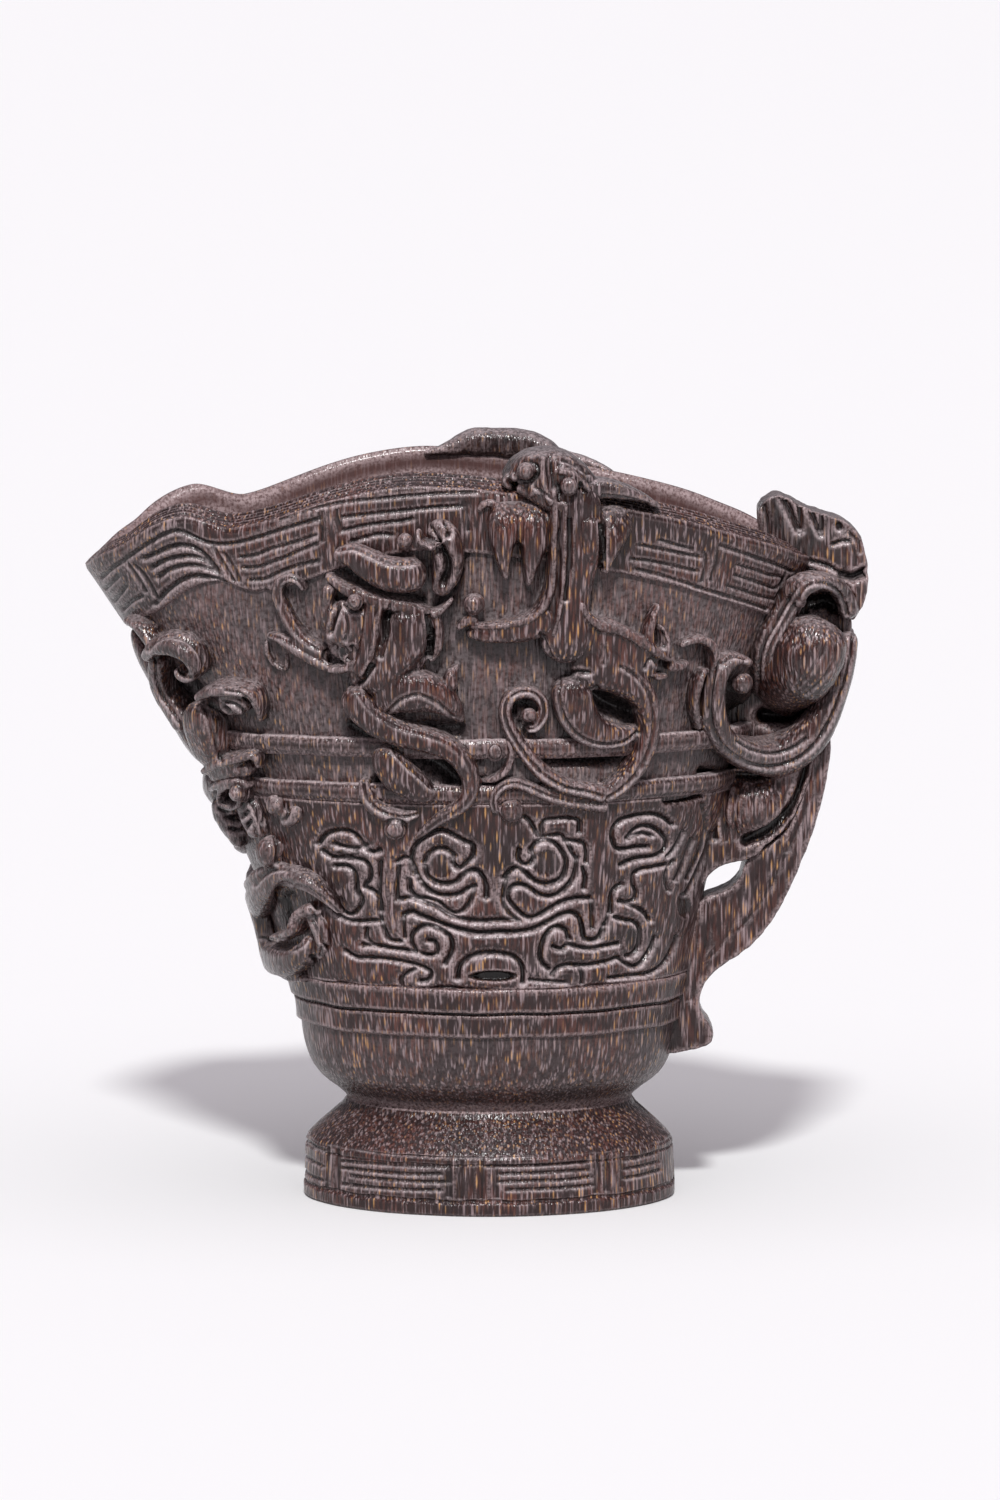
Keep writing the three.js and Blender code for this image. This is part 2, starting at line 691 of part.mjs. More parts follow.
// Assembly: the foot stands on the ground, and the bowl with its carving stands on the foot's waist.
const cup = new THREE.Group();
const upper = new THREE.Group();
upper.position.z = footHeight;
cup.add(upper);

function addPiece(group, name, geometry, material = bamboo) {
  const mesh = new THREE.Mesh(geometry, material);
  mesh.name = name;
  group.add(mesh);
}

addPiece(cup, "plinth", plinthGeometry());
addPiece(cup, "foot", footGeometry());
addPiece(cup, "foot_fret_band", footBandGeometry());
addPiece(upper, "bowl", bowlShell());
for (const [name, band] of Object.entries(bands)) addPiece(upper, name, band());
for (const { name, solid, material } of carvings) addPiece(upper, name, toGeometry(solid), material);

export default cup;
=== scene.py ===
import math
import bpy
import bmesh
import numpy as np
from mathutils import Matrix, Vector


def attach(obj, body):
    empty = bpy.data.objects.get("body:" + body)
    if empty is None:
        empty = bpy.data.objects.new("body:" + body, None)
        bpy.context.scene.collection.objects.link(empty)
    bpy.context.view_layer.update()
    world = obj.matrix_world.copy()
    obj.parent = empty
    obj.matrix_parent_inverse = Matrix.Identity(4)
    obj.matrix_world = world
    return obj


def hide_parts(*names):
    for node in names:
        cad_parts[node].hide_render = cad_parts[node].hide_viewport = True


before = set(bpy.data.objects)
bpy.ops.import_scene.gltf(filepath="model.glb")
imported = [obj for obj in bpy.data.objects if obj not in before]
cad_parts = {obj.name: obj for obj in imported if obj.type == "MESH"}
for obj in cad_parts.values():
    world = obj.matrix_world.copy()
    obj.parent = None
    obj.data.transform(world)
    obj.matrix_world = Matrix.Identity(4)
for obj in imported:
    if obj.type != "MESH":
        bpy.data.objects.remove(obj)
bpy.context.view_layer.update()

mm = 0.001

# Form of the cup in mm. Heights are above the waist.
# Angles go from the handle (0) by the front (90) to the lip (180).
cup = {
    "footHeight": 15.2,
    "waist": (22.3, 16.8),
    "basinHeight": 12.5,
    "basin": (29.0, 22.0),
    "spoutHeight": 82.8,
    "spoutReach": 61.4,
    "handleReach": 48.5,
    "mouthWidth": 28.0,
    "flare": 1.5,
    "wall": 3.5,
    "floorHeight": 9.0,
    "underside": [(0, 0), (0.1, 0.09), (0.22, 0.4), (0.38, 0.7), (0.66, 0.91), (1, 1)],
    "rim": [(0, 83.8), (90, 96.8), (122, 90.0), (131, 91.6), (150, 86.2), (180, 82.8)],
    "pinch": {"angle": 124, "spread": 11, "depth": 2.2, "from": 55.6, "to": 90.0},
    "backTurn": 5,
}

# Camera of the photograph, fitted to it.
# The carving is drawn as this camera sees it, on a picture of 1000 by 1500.
camera = {
    "target": (1.7, 0.0, 68.9),
    "rise": 6.8,
    "distance": 1061.5,
    "lens": 110.4,
    "sensor": 24.0,
    "picture": (1000, 1500),
}
pictureScale = 6.55  # picture units to a mm at the front of the cup


def mix(a, b, t):
    return a + (b - a) * t


def ease(t):
    t = np.clip(t, 0, 1)
    return t * t * (3 - 2 * t)


def curve(first, second, leave, arrive, span, t):  # from knot to knot, with the slopes at both
    return mix(first, second, ease(t)) + span * t * (1 - t) * ((1 - t) * leave - t * arrive)


def smoothThrough(knots, at):  # smooth line through knots, level at both ends
    xs, ys = np.array(knots, float).T
    slopes = np.zeros_like(ys)
    slopes[1:-1] = (ys[2:] - ys[:-2]) / (xs[2:] - xs[:-2])
    at = np.asarray(at, float)
    i = np.clip(np.searchsorted(xs, at, side="right") - 1, 0, len(xs) - 2)
    span = xs[i + 1] - xs[i]
    t = np.clip((at - xs[i]) / span, 0, 1)
    return curve(ys[i], ys[i + 1], slopes[i], slopes[i + 1], span, t)


def foldedAngle(angle):
    turned = np.mod(angle, 360.0)
    return np.minimum(turned, 360.0 - turned)


def rimHeight(angle):
    return smoothThrough(cup["rim"], foldedAngle(angle))


def wallSection(height):  # half length, centre and half width of the outside
    height = np.asarray(height, float)
    swing = smoothThrough(cup["underside"], np.clip(height / cup["basinHeight"], 0, 1))
    share = np.maximum(height - cup["basinHeight"], 0) / (cup["spoutHeight"] - cup["basinHeight"])
    flare = share ** cup["flare"]
    half = mix(cup["waist"][0], cup["basin"][0], swing)
    spout = half + (cup["spoutReach"] - cup["basin"][0]) * flare
    handle = half + (cup["handleReach"] - cup["basin"][0]) * flare
    width = mix(cup["waist"][1], cup["basin"][1], swing) + (cup["mouthWidth"] - cup["basin"][1]) * share
    return (spout + handle) / 2, (handle - spout) / 2, width


def wallPoint(angle, height, out=0.0):  # a place on the outside, pushed sideways, in mm
    angle, height, out = np.broadcast_arrays(*(np.asarray(given, float) for given in (angle, height, out)))
    length, centre, width = wallSection(height)
    turn = np.radians(angle)
    fx, fy = np.cos(turn) / length, -np.sin(turn) / width
    size = np.hypot(fx, fy)
    pinch = cup["pinch"]
    nearRim = np.clip((height - pinch["from"]) / (pinch["to"] - pinch["from"]), 0, 1) ** 2
    away = (foldedAngle(angle) - pinch["angle"]) / pinch["spread"]
    push = out - pinch["depth"] * nearRim * np.exp(-away * away)
    x = centre + length * np.cos(turn) + fx / size * push
    y = -width * np.sin(turn) + fy / size * push
    return np.stack([x, y, height + cup["footHeight"]], axis=-1)


def wallNormal(angle, height, step=0.01):
    angle, height = np.broadcast_arrays(np.asarray(angle, float), np.asarray(height, float))
    across = wallPoint(angle + step, height) - wallPoint(angle - step, height)
    up = wallPoint(angle, height + step) - wallPoint(angle, height - step)
    normal = np.cross(up, across)
    return normal / np.linalg.norm(normal, axis=-1, keepdims=True)


def wallCoords(points):  # angle and height of places near the wall
    height = points[:, 2] - cup["footHeight"]
    length, centre, width = wallSection(height)
    angle = np.degrees(np.arctan2(-points[:, 1] / width, (points[:, 0] - centre) / length))
    return np.mod(angle, 360.0), height


waves = [(1.0, 0.7), (-0.6, 1.3), (1.7, -1.1), (2.3, 1.9)]  # how fast each wave runs across and up
waveSum = 2.6  # about the height of all four together


def wobble(x, y, seed, size):  # slow waver of a hand-held chisel
    total = np.zeros_like(np.asarray(x, float))
    for k, (a, b) in enumerate(waves):
        total += np.sin((a * x + b * y) / size + seed * (1.3 + k)) / (1 + 0.5 * k)
    return total / waveSum


# Picture and wall

rise = math.radians(camera["rise"])
eye = np.array(camera["target"]) + camera["distance"] * np.array([0, -math.cos(rise), math.sin(rise)])
focal = camera["lens"] / camera["sensor"] * camera["picture"][1]


def pictureOf(points):  # where the camera sees places
    way = np.asarray(points, float) - eye
    depth = way[..., 1] * math.cos(rise) - way[..., 2] * math.sin(rise)
    up = way[..., 1] * math.sin(rise) + way[..., 2] * math.cos(rise)
    middle = np.array(camera["picture"]) / 2
    return np.stack([middle[0] + focal * way[..., 0] / depth, middle[1] - focal * up / depth], axis=-1)


def onPlane(seen, before=0.0):  # places seen there, that far before the middle plane
    seen = np.asarray(seen, float)
    right = (seen[:, 0] - camera["picture"][0] / 2) / focal
    up = (camera["picture"][1] / 2 - seen[:, 1]) / focal
    depth, climb = math.cos(rise) + up * math.sin(rise), -math.sin(rise) + up * math.cos(rise)
    way = np.stack([right, depth, climb], axis=1)
    return eye + way * ((-before - eye[1]) / way[:, 1])[:, None]


wallSearch = {  # finds a place on the wall from its place in the picture
    "start": (489, 988),  # picture place of the cup's middle, at the height below
    "height": 20.3,
    "scale": (6.5, 6.45),  # picture units to a mm for the first guess
    "step": (7.2, 6.7),  # and for each step after it
    "rounds": 16,
    "edge": 0.9996,  # keeps off the very ends of the cup
}


def wallSpots(seen, lift):  # angle and height for places seen that far off the wall
    x = (seen[:, 0] - wallSearch["start"][0]) / wallSearch["scale"][0]
    height = wallSearch["height"] + (wallSearch["start"][1] - seen[:, 1]) / wallSearch["scale"][1]
    edge = wallSearch["edge"]
    for _ in range(wallSearch["rounds"]):
        length, centre, _ = wallSection(height)
        angle = np.degrees(np.arccos(np.clip((x - centre) / length, -edge, edge)))
        shown = pictureOf(wallPoint(angle, height) + wallNormal(angle, height) * lift[:, None])
        x = x + (seen[:, 0] - shown[:, 0]) / wallSearch["step"][0]
        x = np.clip(x, centre - length, centre + length)
        height = height + (shown[:, 1] - seen[:, 1]) / wallSearch["step"][1]
    return angle, height


def frontPicture(points, side, turn):  # picture places, with the back taken to the front
    mirrored = points * (1, side, 1)
    if not turn:
        return pictureOf(mirrored)
    angle, height = wallCoords(mirrored)
    away = np.sum((mirrored - wallPoint(angle, height)) * wallNormal(angle, height), axis=1)
    return pictureOf(wallPoint(angle - turn, height) + wallNormal(angle - turn, height) * away[:, None])


def mirrorToFront(points):
    return np.stack([points[:, 0], -np.abs(points[:, 1]), points[:, 2]], axis=1)


# Mesh helpers

def select(piece):
    bpy.ops.object.select_all(action="DESELECT")
    piece.select_set(True)
    bpy.context.view_layer.objects.active = piece


def readPoints(piece):
    points = np.empty(len(piece.data.vertices) * 3)
    piece.data.vertices.foreach_get("co", points)
    return points.reshape(-1, 3)


def writePoints(piece, points):
    piece.data.vertices.foreach_set("co", np.ascontiguousarray(points, float).ravel())
    piece.data.update()


def readNormals(piece):
    normals = np.empty(len(piece.data.vertices) * 3)
    piece.data.vertices.foreach_get("normal", normals)
    return normals.reshape(-1, 3)


def useModifier(piece, kind, **settings):
    select(piece)
    modifier = piece.modifiers.new(kind.title(), kind)
    for key, value in settings.items():
        setattr(modifier, key, value)
    bpy.ops.object.modifier_apply(modifier=modifier.name)


def gridSheet(name, across, up):  # a flat sheet to wrap, with its shares across and up
    bpy.ops.object.select_all(action="DESELECT")
    bpy.ops.mesh.primitive_grid_add(x_subdivisions=across, y_subdivisions=up, size=1, calc_uvs=False)
    sheet = bpy.context.object
    sheet.name = name
    flat = readPoints(sheet)
    return sheet, flat[:, 0] + 0.5, flat[:, 1] + 0.5


mergeWithin, dissolveWithin = 0.002, 0.0005  # mm


def closeUp(piece):  # seams merged, open ends filled, faces outwards
    select(piece)
    bpy.ops.object.mode_set(mode="EDIT")
    bpy.ops.mesh.select_all(action="SELECT")
    bpy.ops.mesh.remove_doubles(threshold=mergeWithin * mm)
    bpy.ops.mesh.dissolve_degenerate(threshold=dissolveWithin * mm)
    bpy.ops.mesh.select_all(action="DESELECT")
    bpy.ops.mesh.select_non_manifold(
        extend=False, use_wire=False, use_multi_face=False, use_non_contiguous=False, use_verts=False,
    )
    if any(edge.select for edge in bmesh.from_edit_mesh(piece.data).edges):
        bpy.ops.mesh.fill_holes(sides=0)
    bpy.ops.mesh.select_all(action="SELECT")
    bpy.ops.mesh.normals_make_consistent(inside=False)
    bpy.ops.object.mode_set(mode="OBJECT")
    bpy.ops.object.shade_smooth()


def getMark(piece, name):
    values = np.zeros(len(piece.data.vertices), np.float32)
    if name in piece.data.attributes:
        piece.data.attributes[name].data.foreach_get("value", values)
    return values


def setMark(piece, name, values):
    attribute = piece.data.attributes.get(name) or piece.data.attributes.new(name, "FLOAT", "POINT")
    attribute.data.foreach_set("value", np.ascontiguousarray(values, np.float32))


wearLook = {
    "fineRounds": 3,  # averaging for edges, and then for broad hollows
    "broadRounds": 14,
    "edge": 0.10,  # mm that stand out at a rubbed edge, at the usual wear
    "usual": 0.3,
    "hollow": 0.35,  # mm that lie back in a full hollow
    "upDustAndHighlightFrom": 0.5,  # upward slope where dust and painted highlight begin, and over how much
    "upDustAndHighlightOver": 0.4,
}


def markWear(piece, near, upDustAndHighlight):  # hollows (painted as shade later), rubbed edges, and dust with painted highlight on upward tops, per point
    mesh = piece.data
    edges = np.empty(len(mesh.edges) * 2, np.int64)
    mesh.edges.foreach_get("vertices", edges)
    a, b = edges.reshape(-1, 2).T
    both = np.concatenate([a, b])
    count = np.bincount(both, minlength=len(mesh.vertices)).astype(float)
    count[count == 0] = 1

    def average(values):
        total = np.empty_like(values)
        for k in range(values.shape[1]):
            total[:, k] = np.bincount(both, np.concatenate([values[b, k], values[a, k]]), len(count))
        return total / count[:, None]

    points = readPoints(piece) / mm
    normals = readNormals(piece)
    soft = points
    for _ in range(wearLook["fineRounds"]):
        soft = average(soft)
    fine = np.sum((points - soft) * normals, axis=1)
    for _ in range(wearLook["broadRounds"]):
        soft = average(soft)
    wide = np.sum((points - soft) * normals, axis=1)
    fine = average(fine[:, None])[:, 0]
    setMark(piece, "edgeWear", np.clip(fine / (wearLook["edge"] * near / wearLook["usual"]), -1, 1))
    setMark(piece, "hollow", np.clip(-wide / wearLook["hollow"], -1, 1))
    # upward faces: dust with painted highlight
    if upDustAndHighlight:
        topped = upDustAndHighlight * ease((normals[:, 2] - wearLook["upDustAndHighlightFrom"]) / wearLook["upDustAndHighlightOver"])
        setMark(piece, "dustAndHighlightMark", np.maximum(getMark(piece, "dustAndHighlightMark"), topped))


carvedLines = []  # every strand's middle, for painted shade beside and under it and dust with painted highlight above it on the wall


def finishPiece(piece, nodes, slot, wear=0.3, upDustAndHighlight=0.0):
    markWear(piece, wear, upDustAndHighlight)
    piece.data.materials.clear()
    piece.data.materials.append(slotLook[slot])
    select(piece)
    bpy.ops.object.shade_smooth()
    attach(piece, "root")
    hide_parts(*nodes)


# Bamboo: dark ground with pale fibres and golden bundles that run up the cup, painted shade, dust with
# painted highlight, and rubbed edges

bambooLook = {
    # painted shade: the colour laid into cuts, hollows, pits and under carvings, and where the basin and
    # foot are darkened
    "paintedShade": (0.006, 0.004, 0.004),
    "dark": (0.024, 0.012, 0.0122),
    "warm": (0.14, 0.052, 0.041),
    "pale": (0.40, 0.305, 0.315),
    "gold": (0.74, 0.40, 0.15),
    # dust with painted highlight, laid on upward faces and the lower lips of cuts
    "dustAndHighlight": (0.76, 0.65, 0.66),
    "rubbed": (0.51, 0.39, 0.39),
    "inside": (0.12, 0.064, 0.06),
    "bundleScale": (2300.0, 2300.0, 300.0),  # bundles and fibres are drawn out up the cup
    "fibreScale": (2300.0, 2300.0, 120.0),
    "fibreDetail": 1.5,
    "zoneScale": (150.0, 150.0, 60.0),  # where the golden bundles gather
    "zoneDetail": 3,
    "patches": (90, 4),  # scale and detail of the plain clouds
    "grit": (2300, 2),
    "dustAndHighlightSpeckle": (1500, 4),
    "heart": [(0.16, 1), (0.40, 0)],  # ramps: place and value of each stop
    "gap": [(0.42, 0), (0.66, 1)],
    "ground": [(0.32, 0), (0.7, 1)],
    "streak": [(0.51, 0), (0.63, 1)],
    "plainStreak": [(0, 0.8), (1, 0.45)],
    "chosen": [(0.58, 0), (0.66, 1)],
    "zone": [(0.42, 0.15), (0.60, 1)],
    # painted shade in broad hollows
    "hollow": [(0.15, 0), (0.75, 0.9)],
    "edge": [(0.15, 0), (0.8, 1)],
    "gritty": [(0.35, 0.15), (0.6, 1)],
    "dustAndHighlightRamp": [(0.36, 0.15), (0.58, 1)],
    "insideRelief": [(0, 1), (1, 0.35)],
    "goldShare": 0.8,
    "gapShare": 0.9,
    "insideShare": 0.8,
    "rubShare": 0.8,
    "dustDull": 0.9,  # how far dust and gaps dull the polish
    "gapDull": 0.4,
    "dullest": 0.4,
    "specular": 0.15,
    "coatRoughness": 0.2,
    "fibreRelief": 0.8,
    "gapRelief": 0.6,
    "gritRelief": 0.55,
    "bumps": {"Normal": 0.75, "Coat Normal": 0.35},
    "bumpDistance": 0.26 * mm,
}


def addNode(tree, kind, **settings):
    made = tree.nodes.new(kind)
    for key, value in settings.items():
        setattr(made, key, value)
    return made


def ramp(tree, source, stops):
    made = addNode(tree, "ShaderNodeValToRGB")
    bar = made.color_ramp
    while len(bar.elements) < len(stops):
        bar.elements.new(0.5)
    for element, (place, value) in zip(bar.elements, stops):
        element.position = place
        element.color = (value, value, value, 1)
    tree.links.new(source, made.inputs["Fac"])
    return made.outputs["Color"]


def blendColour(tree, amount, first, second):
    made = addNode(tree, "ShaderNodeMix", data_type="RGBA")
    for socket, value in ((made.inputs[0], amount), (made.inputs[6], first), (made.inputs[7], second)):
        if isinstance(value, bpy.types.NodeSocket):
            tree.links.new(value, socket)
        else:
            socket.default_value = (*value, 1)
    return made.outputs[2]


def sums(tree, operation, first, second=None, clamp=False):
    made = addNode(tree, "ShaderNodeMath", operation=operation, use_clamp=clamp)
    for socket, value in zip(made.inputs, (first, second)):
        if value is None:
            continue
        if isinstance(value, bpy.types.NodeSocket):
            tree.links.new(value, socket)
        else:
            socket.default_value = value
    return made.outputs[0]


def makeBamboo(name, dustAndHighlightAmount, polish, gloss):
    look = bambooLook
    material = bpy.data.materials.new(name)
    material.use_nodes = True
    tree = material.node_tree
    shader = tree.nodes["Principled BSDF"]
    place = addNode(tree, "ShaderNodeTexCoord").outputs["Object"]

    def stretched(scale):
        made = addNode(tree, "ShaderNodeMapping")
        made.inputs["Scale"].default_value = scale
        tree.links.new(place, made.inputs["Vector"])
        return made.outputs["Vector"]

    def cloud(vector, scale, detail):
        made = addNode(tree, "ShaderNodeTexNoise")
        made.inputs["Scale"].default_value = scale
        made.inputs["Detail"].default_value = detail
        tree.links.new(vector, made.inputs["Vector"])
        return made.outputs["Fac"]

    def mark(word):
        return addNode(tree, "ShaderNodeAttribute", attribute_name=word).outputs["Fac"]

    def shaped(source, word):
        return ramp(tree, source, look[word])

    def times(first, second, clamp=False):
        return sums(tree, "MULTIPLY", first, second, clamp)

    def laidOn(colour, amount, word):
        return blendColour(tree, amount, colour, look[word])

    cells = addNode(tree, "ShaderNodeTexVoronoi")
    cells.inputs["Scale"].default_value = 1
    tree.links.new(stretched(look["bundleScale"]), cells.inputs["Vector"])
    spread = addNode(tree, "ShaderNodeSeparateColor")
    tree.links.new(cells.outputs["Color"], spread.inputs["Color"])
    heart = shaped(cells.outputs["Distance"], "heart")
    gap = shaped(cells.outputs["Distance"], "gap")
    fibre = cloud(stretched(look["fibreScale"]), 1, look["fibreDetail"])
    zones = cloud(stretched(look["zoneScale"]), 1, look["zoneDetail"])
    grit = cloud(place, *look["grit"])

    # ground, fibres and bundles
    patches = shaped(cloud(place, *look["patches"]), "ground")
    colour = blendColour(tree, patches, look["dark"], look["warm"])
    streak = times(shaped(fibre, "streak"), shaped(mark("plain"), "plainStreak"))
    colour = laidOn(colour, streak, "pale")
    chosen = shaped(spread.outputs["Red"], "chosen")
    gold = times(times(heart, chosen), shaped(zones, "zone"))
    colour = laidOn(colour, times(gold, look["goldShare"]), "gold")
    colour = laidOn(colour, times(gap, look["gapShare"]), "dark")
    inside = mark("inside")
    colour = laidOn(colour, times(inside, look["insideShare"]), "inside")

    # painted shade in the cuts, hollows and pits and under the carvings, with the basin and foot darkened;
    # rubbed edges; then dust with painted highlight
    paintedShading = sums(tree, "MAXIMUM", mark("paintedShadeAndDarkening"), shaped(mark("hollow"), "hollow"))
    colour = laidOn(colour, paintedShading, "paintedShade")
    rub = times(shaped(mark("edgeWear"), "edge"), shaped(grit, "gritty"))
    colour = laidOn(colour, times(rub, look["rubShare"]), "rubbed")
    dustAndHighlightSpeckle = shaped(cloud(place, *look["dustAndHighlightSpeckle"]), "dustAndHighlightRamp")
    dustAndHighlight = times(times(mark("dustAndHighlightMark"), dustAndHighlightSpeckle), dustAndHighlightAmount, clamp=True)
    colour = laidOn(colour, dustAndHighlight, "dustAndHighlight")
    tree.links.new(colour, shader.inputs["Base Color"])

    dull = sums(tree, "ADD", times(dustAndHighlight, look["dustDull"]), times(gap, look["gapDull"]))
    rough = addNode(tree, "ShaderNodeMapRange")
    tree.links.new(dull, rough.inputs["Value"])
    rough.inputs["To Min"].default_value = polish
    rough.inputs["To Max"].default_value = polish + look["dullest"]
    tree.links.new(rough.outputs["Result"], shader.inputs["Roughness"])
    shader.inputs["Specular IOR Level"].default_value = look["specular"]
    shader.inputs["Coat Weight"].default_value = gloss
    shader.inputs["Coat Roughness"].default_value = look["coatRoughness"]

    # bundles stand up, the gaps between them sink
    relief = sums(tree, "SUBTRACT", times(fibre, look["fibreRelief"]), times(gap, look["gapRelief"]))
    relief = sums(tree, "ADD", relief, times(grit, look["gritRelief"]))
    relief = times(relief, shaped(inside, "insideRelief"))
    for socket, strength in look["bumps"].items():
        bump = addNode(tree, "ShaderNodeBump")
        bump.inputs["Strength"].default_value = strength
        bump.inputs["Distance"].default_value = look["bumpDistance"]
        tree.links.new(relief, bump.inputs["Height"])
        tree.links.new(bump.outputs["Normal"], shader.inputs[socket])
    return material


slotLook = {
    "bamboo": makeBamboo("darkBamboo", dustAndHighlightAmount=0.85, polish=0.32, gloss=0.5),
    "worn_bamboo": makeBamboo("wornBamboo", dustAndHighlightAmount=0.9, polish=0.28, gloss=0.8),
}
print("bamboo mixed")


def setCamera():
    target = Vector(camera["target"]) * mm
    place = Vector(eye) * mm
    bpy.ops.object.camera_add(location=place)
    view = bpy.context.object
    view.rotation_euler = (target - place).to_track_quat("-Z", "Y").to_euler()
    view.data.sensor_fit = "VERTICAL"
    view.data.sensor_height = camera["sensor"]
    view.data.lens = camera["lens"]
    view.data.clip_end = 200
    bpy.context.scene.camera = view


setCamera()


# Carving helpers. Routes are drawn in picture units.
# A third value is the lift off the wall in mm, where a strand stands free.

def unit(rows):
    return rows / np.maximum(np.linalg.norm(rows, axis=1, keepdims=True), 1e-9)


def drawnLine(route, step=3.0):
    points = np.array([(*p, 0.0)[:3] for p in route], float)
    chords = np.linalg.norm(np.diff(points[:, :2], axis=0), axis=1)
    gone = np.concatenate([[0], np.cumsum(np.maximum(chords, 1e-6))])
    slopes = np.gradient(points, gone, axis=0)
    at = np.linspace(0, gone[-1], max(8, int(gone[-1] / step)) + 1)
    i = np.clip(np.searchsorted(gone, at, side="right") - 1, 0, len(gone) - 2)
    span = (gone[i + 1] - gone[i])[:, None]
    t = (at - gone[i])[:, None] / span
    return curve(points[i], points[i + 1], slopes[i], slopes[i + 1], span, t)


def ringRoute(x, y, across, tall, end=375, count=17):  # a ring, drawn with a little overlap
    turns = np.radians(np.linspace(0, end, count))
    return [(x + across * math.cos(a), y - tall * math.sin(a)) for a in turns]


def tubeFaces(rings, sides):
    faces = []
    for j in range(rings - 1):
        for k in range(sides):
            n = (k + 1) % sides
            faces.append((j * sides + k, j * sides + n, (j + 1) * sides + n, (j + 1) * sides + k))
    first, last = rings * sides, rings * sides + 1
    for k in range(sides):
        n = (k + 1) % sides
        faces.append((first, n, k))
        faces.append((last, (rings - 1) * sides + k, (rings - 1) * sides + n))
    return faces


def along(values, count):
    values = np.atleast_1d(np.asarray(values, float))
    return np.interp(np.linspace(0, 1, count), np.linspace(0, 1, len(values)), values)


strandForm = {
    "sides": 20,
    "freeFrom": 0.9,  # lift in mm from which a strand is round underneath too
    "freeSink": 0.45,
    "endReach": 0.9,  # share of the half width over which an end is rounded
    "leastReach": 0.3,
    "endTall": 0.7,
    "tip": 0.0025,
    "lineGain": 1.3,  # grooves along a strand, wider and deeper than noted
}


# Width in picture units and relief in mm run along the route.
# Where free is 1 the strand has left the wall for the handle's side, that far before the middle plane.
def strand(
    route, width, relief, side=1, turn=0.0,
    sink=0.8, full=0.68, ends=(1, 1), lines=(), free=0, before=0,
):
    line = drawnLine(route)
    top = along(relief, len(line))
    half = along(width, len(line)) / 2 / pictureScale
    lift = line[:, 2]
    angle, height = wallSpots(line[:, :2], lift + 0.5 * top)
    angle = (angle + turn) * side
    normal = wallNormal(angle, height)
    spine = wallPoint(angle, height) + normal * lift[:, None]
    loose = along(free, len(line))[:, None]
    spine = mix(spine, onPlane(line[:, :2], before) * (1, side, 1), loose)
    normal = unit(mix(normal, np.array([0, -side, 0]), loose))
    way = unit(np.gradient(spine, axis=0))
    across = unit(np.cross(normal, way))
    up = np.cross(way, across)
    sunk = np.where(lift > strandForm["freeFrom"], top * strandForm["freeSink"], sink)
    tall = (top + sunk) / 2
    middle = (top - sunk) / 2
    gone = np.concatenate([[0], np.cumsum(np.linalg.norm(np.diff(spine, axis=0), axis=1))])
    for rounded, left in zip(ends, (gone, gone[-1] - gone)):
        if rounded:
            reach = np.maximum(half * strandForm["endReach"], strandForm["leastReach"])
            shrink = np.sqrt(np.clip(1 - (1 - np.clip(left / reach, 0, 1)) ** 2, strandForm["tip"], 1))
            half, tall = half * shrink, tall * mix(1, shrink, strandForm["endTall"])

    def squared(values):
        return np.sign(values) * np.abs(values) ** full

    turnRound = np.linspace(0, 2 * np.pi, strandForm["sides"], endpoint=False)
    rings = (
        spine[:, None, :]
        + across[:, None, :] * (half[:, None] * squared(np.cos(turnRound)))[:, :, None]
        + up[:, None, :] * (middle[:, None] + tall[:, None] * squared(np.sin(turnRound)))[:, :, None]
    )
    carvedLines.append((spine, half))
    tips = [spine[:1] + up[:1] * middle[0], spine[-1:] + up[-1:] * middle[-1]]
    return np.concatenate([rings.reshape(-1, 3), *tips]), tubeFaces(len(spine), strandForm["sides"])


def sideLines(form):  # grooves that run along a strand
    strokes = []
    gain = strandForm["lineGain"]
    for offset, wide, deep in form.get("lines", ()):
        line = drawnLine(form["route"])[:, :2]
        way = unit(np.gradient(line, axis=0))
        shift = along(form["width"], len(line)) / 2 * offset
        moved = line + np.stack([-way[:, 1], way[:, 0]], axis=1) * shift[:, None]
        strokes.append((moved[1:-1], wide * gain, deep * gain))
    return strokes


ballRings, ballSides = 12, 18


def ball(centre, halves, basis):  # a rounded lump, its axes given as rows
    climb = np.linspace(-np.pi / 2, np.pi / 2, ballRings + 1)[1:-1, None]
    turn = np.linspace(0, 2 * np.pi, ballSides, endpoint=False)[None]
    level = np.repeat(np.sin(climb), ballSides, 1)
    rings = np.stack([np.cos(climb) * np.cos(turn), np.cos(climb) * np.sin(turn), level], axis=-1)
    points = np.concatenate([rings.reshape(-1, 3), [[0, 0, -1], [0, 0, 1]]]) * np.asarray(halves, float)
    points = points @ np.asarray(basis, float) + np.asarray(centre, float)
    return points, tubeFaces(ballRings - 1, ballSides)


def wallBasis(angle, height):  # rows: to the right along the wall, outwards, upwards
    normal = wallNormal(angle, height)
    right = np.cross((0, 0, 1.0), normal)
    right = right / np.linalg.norm(right)
    if math.sin(math.radians(angle)) < 0:
        right = -right
    up = np.cross(right, normal)
    return np.array([right, normal, up if up[2] > 0 else -up])


def bead(x, y, across, tall, deep, lift, side=1, turn=0.0):  # a lump as seen; depth and lift in mm
    angle, height = wallSpots(np.array([[x, y]], float), np.array([lift], float))
    angle, height = float(angle[0] + turn) * side, float(height[0])
    centre = wallPoint(angle, height) + wallNormal(angle, height) * lift
    return ball(centre, (across / pictureScale, deep, tall / pictureScale), wallBasis(angle, height))


def meshPiece(name, points, faces):
    mesh = bpy.data.meshes.new(name)
    mesh.from_pydata((np.asarray(points) * mm).tolist(), [], faces)
    piece = bpy.data.objects.new(name, mesh)
    bpy.context.scene.collection.objects.link(piece)
    return piece


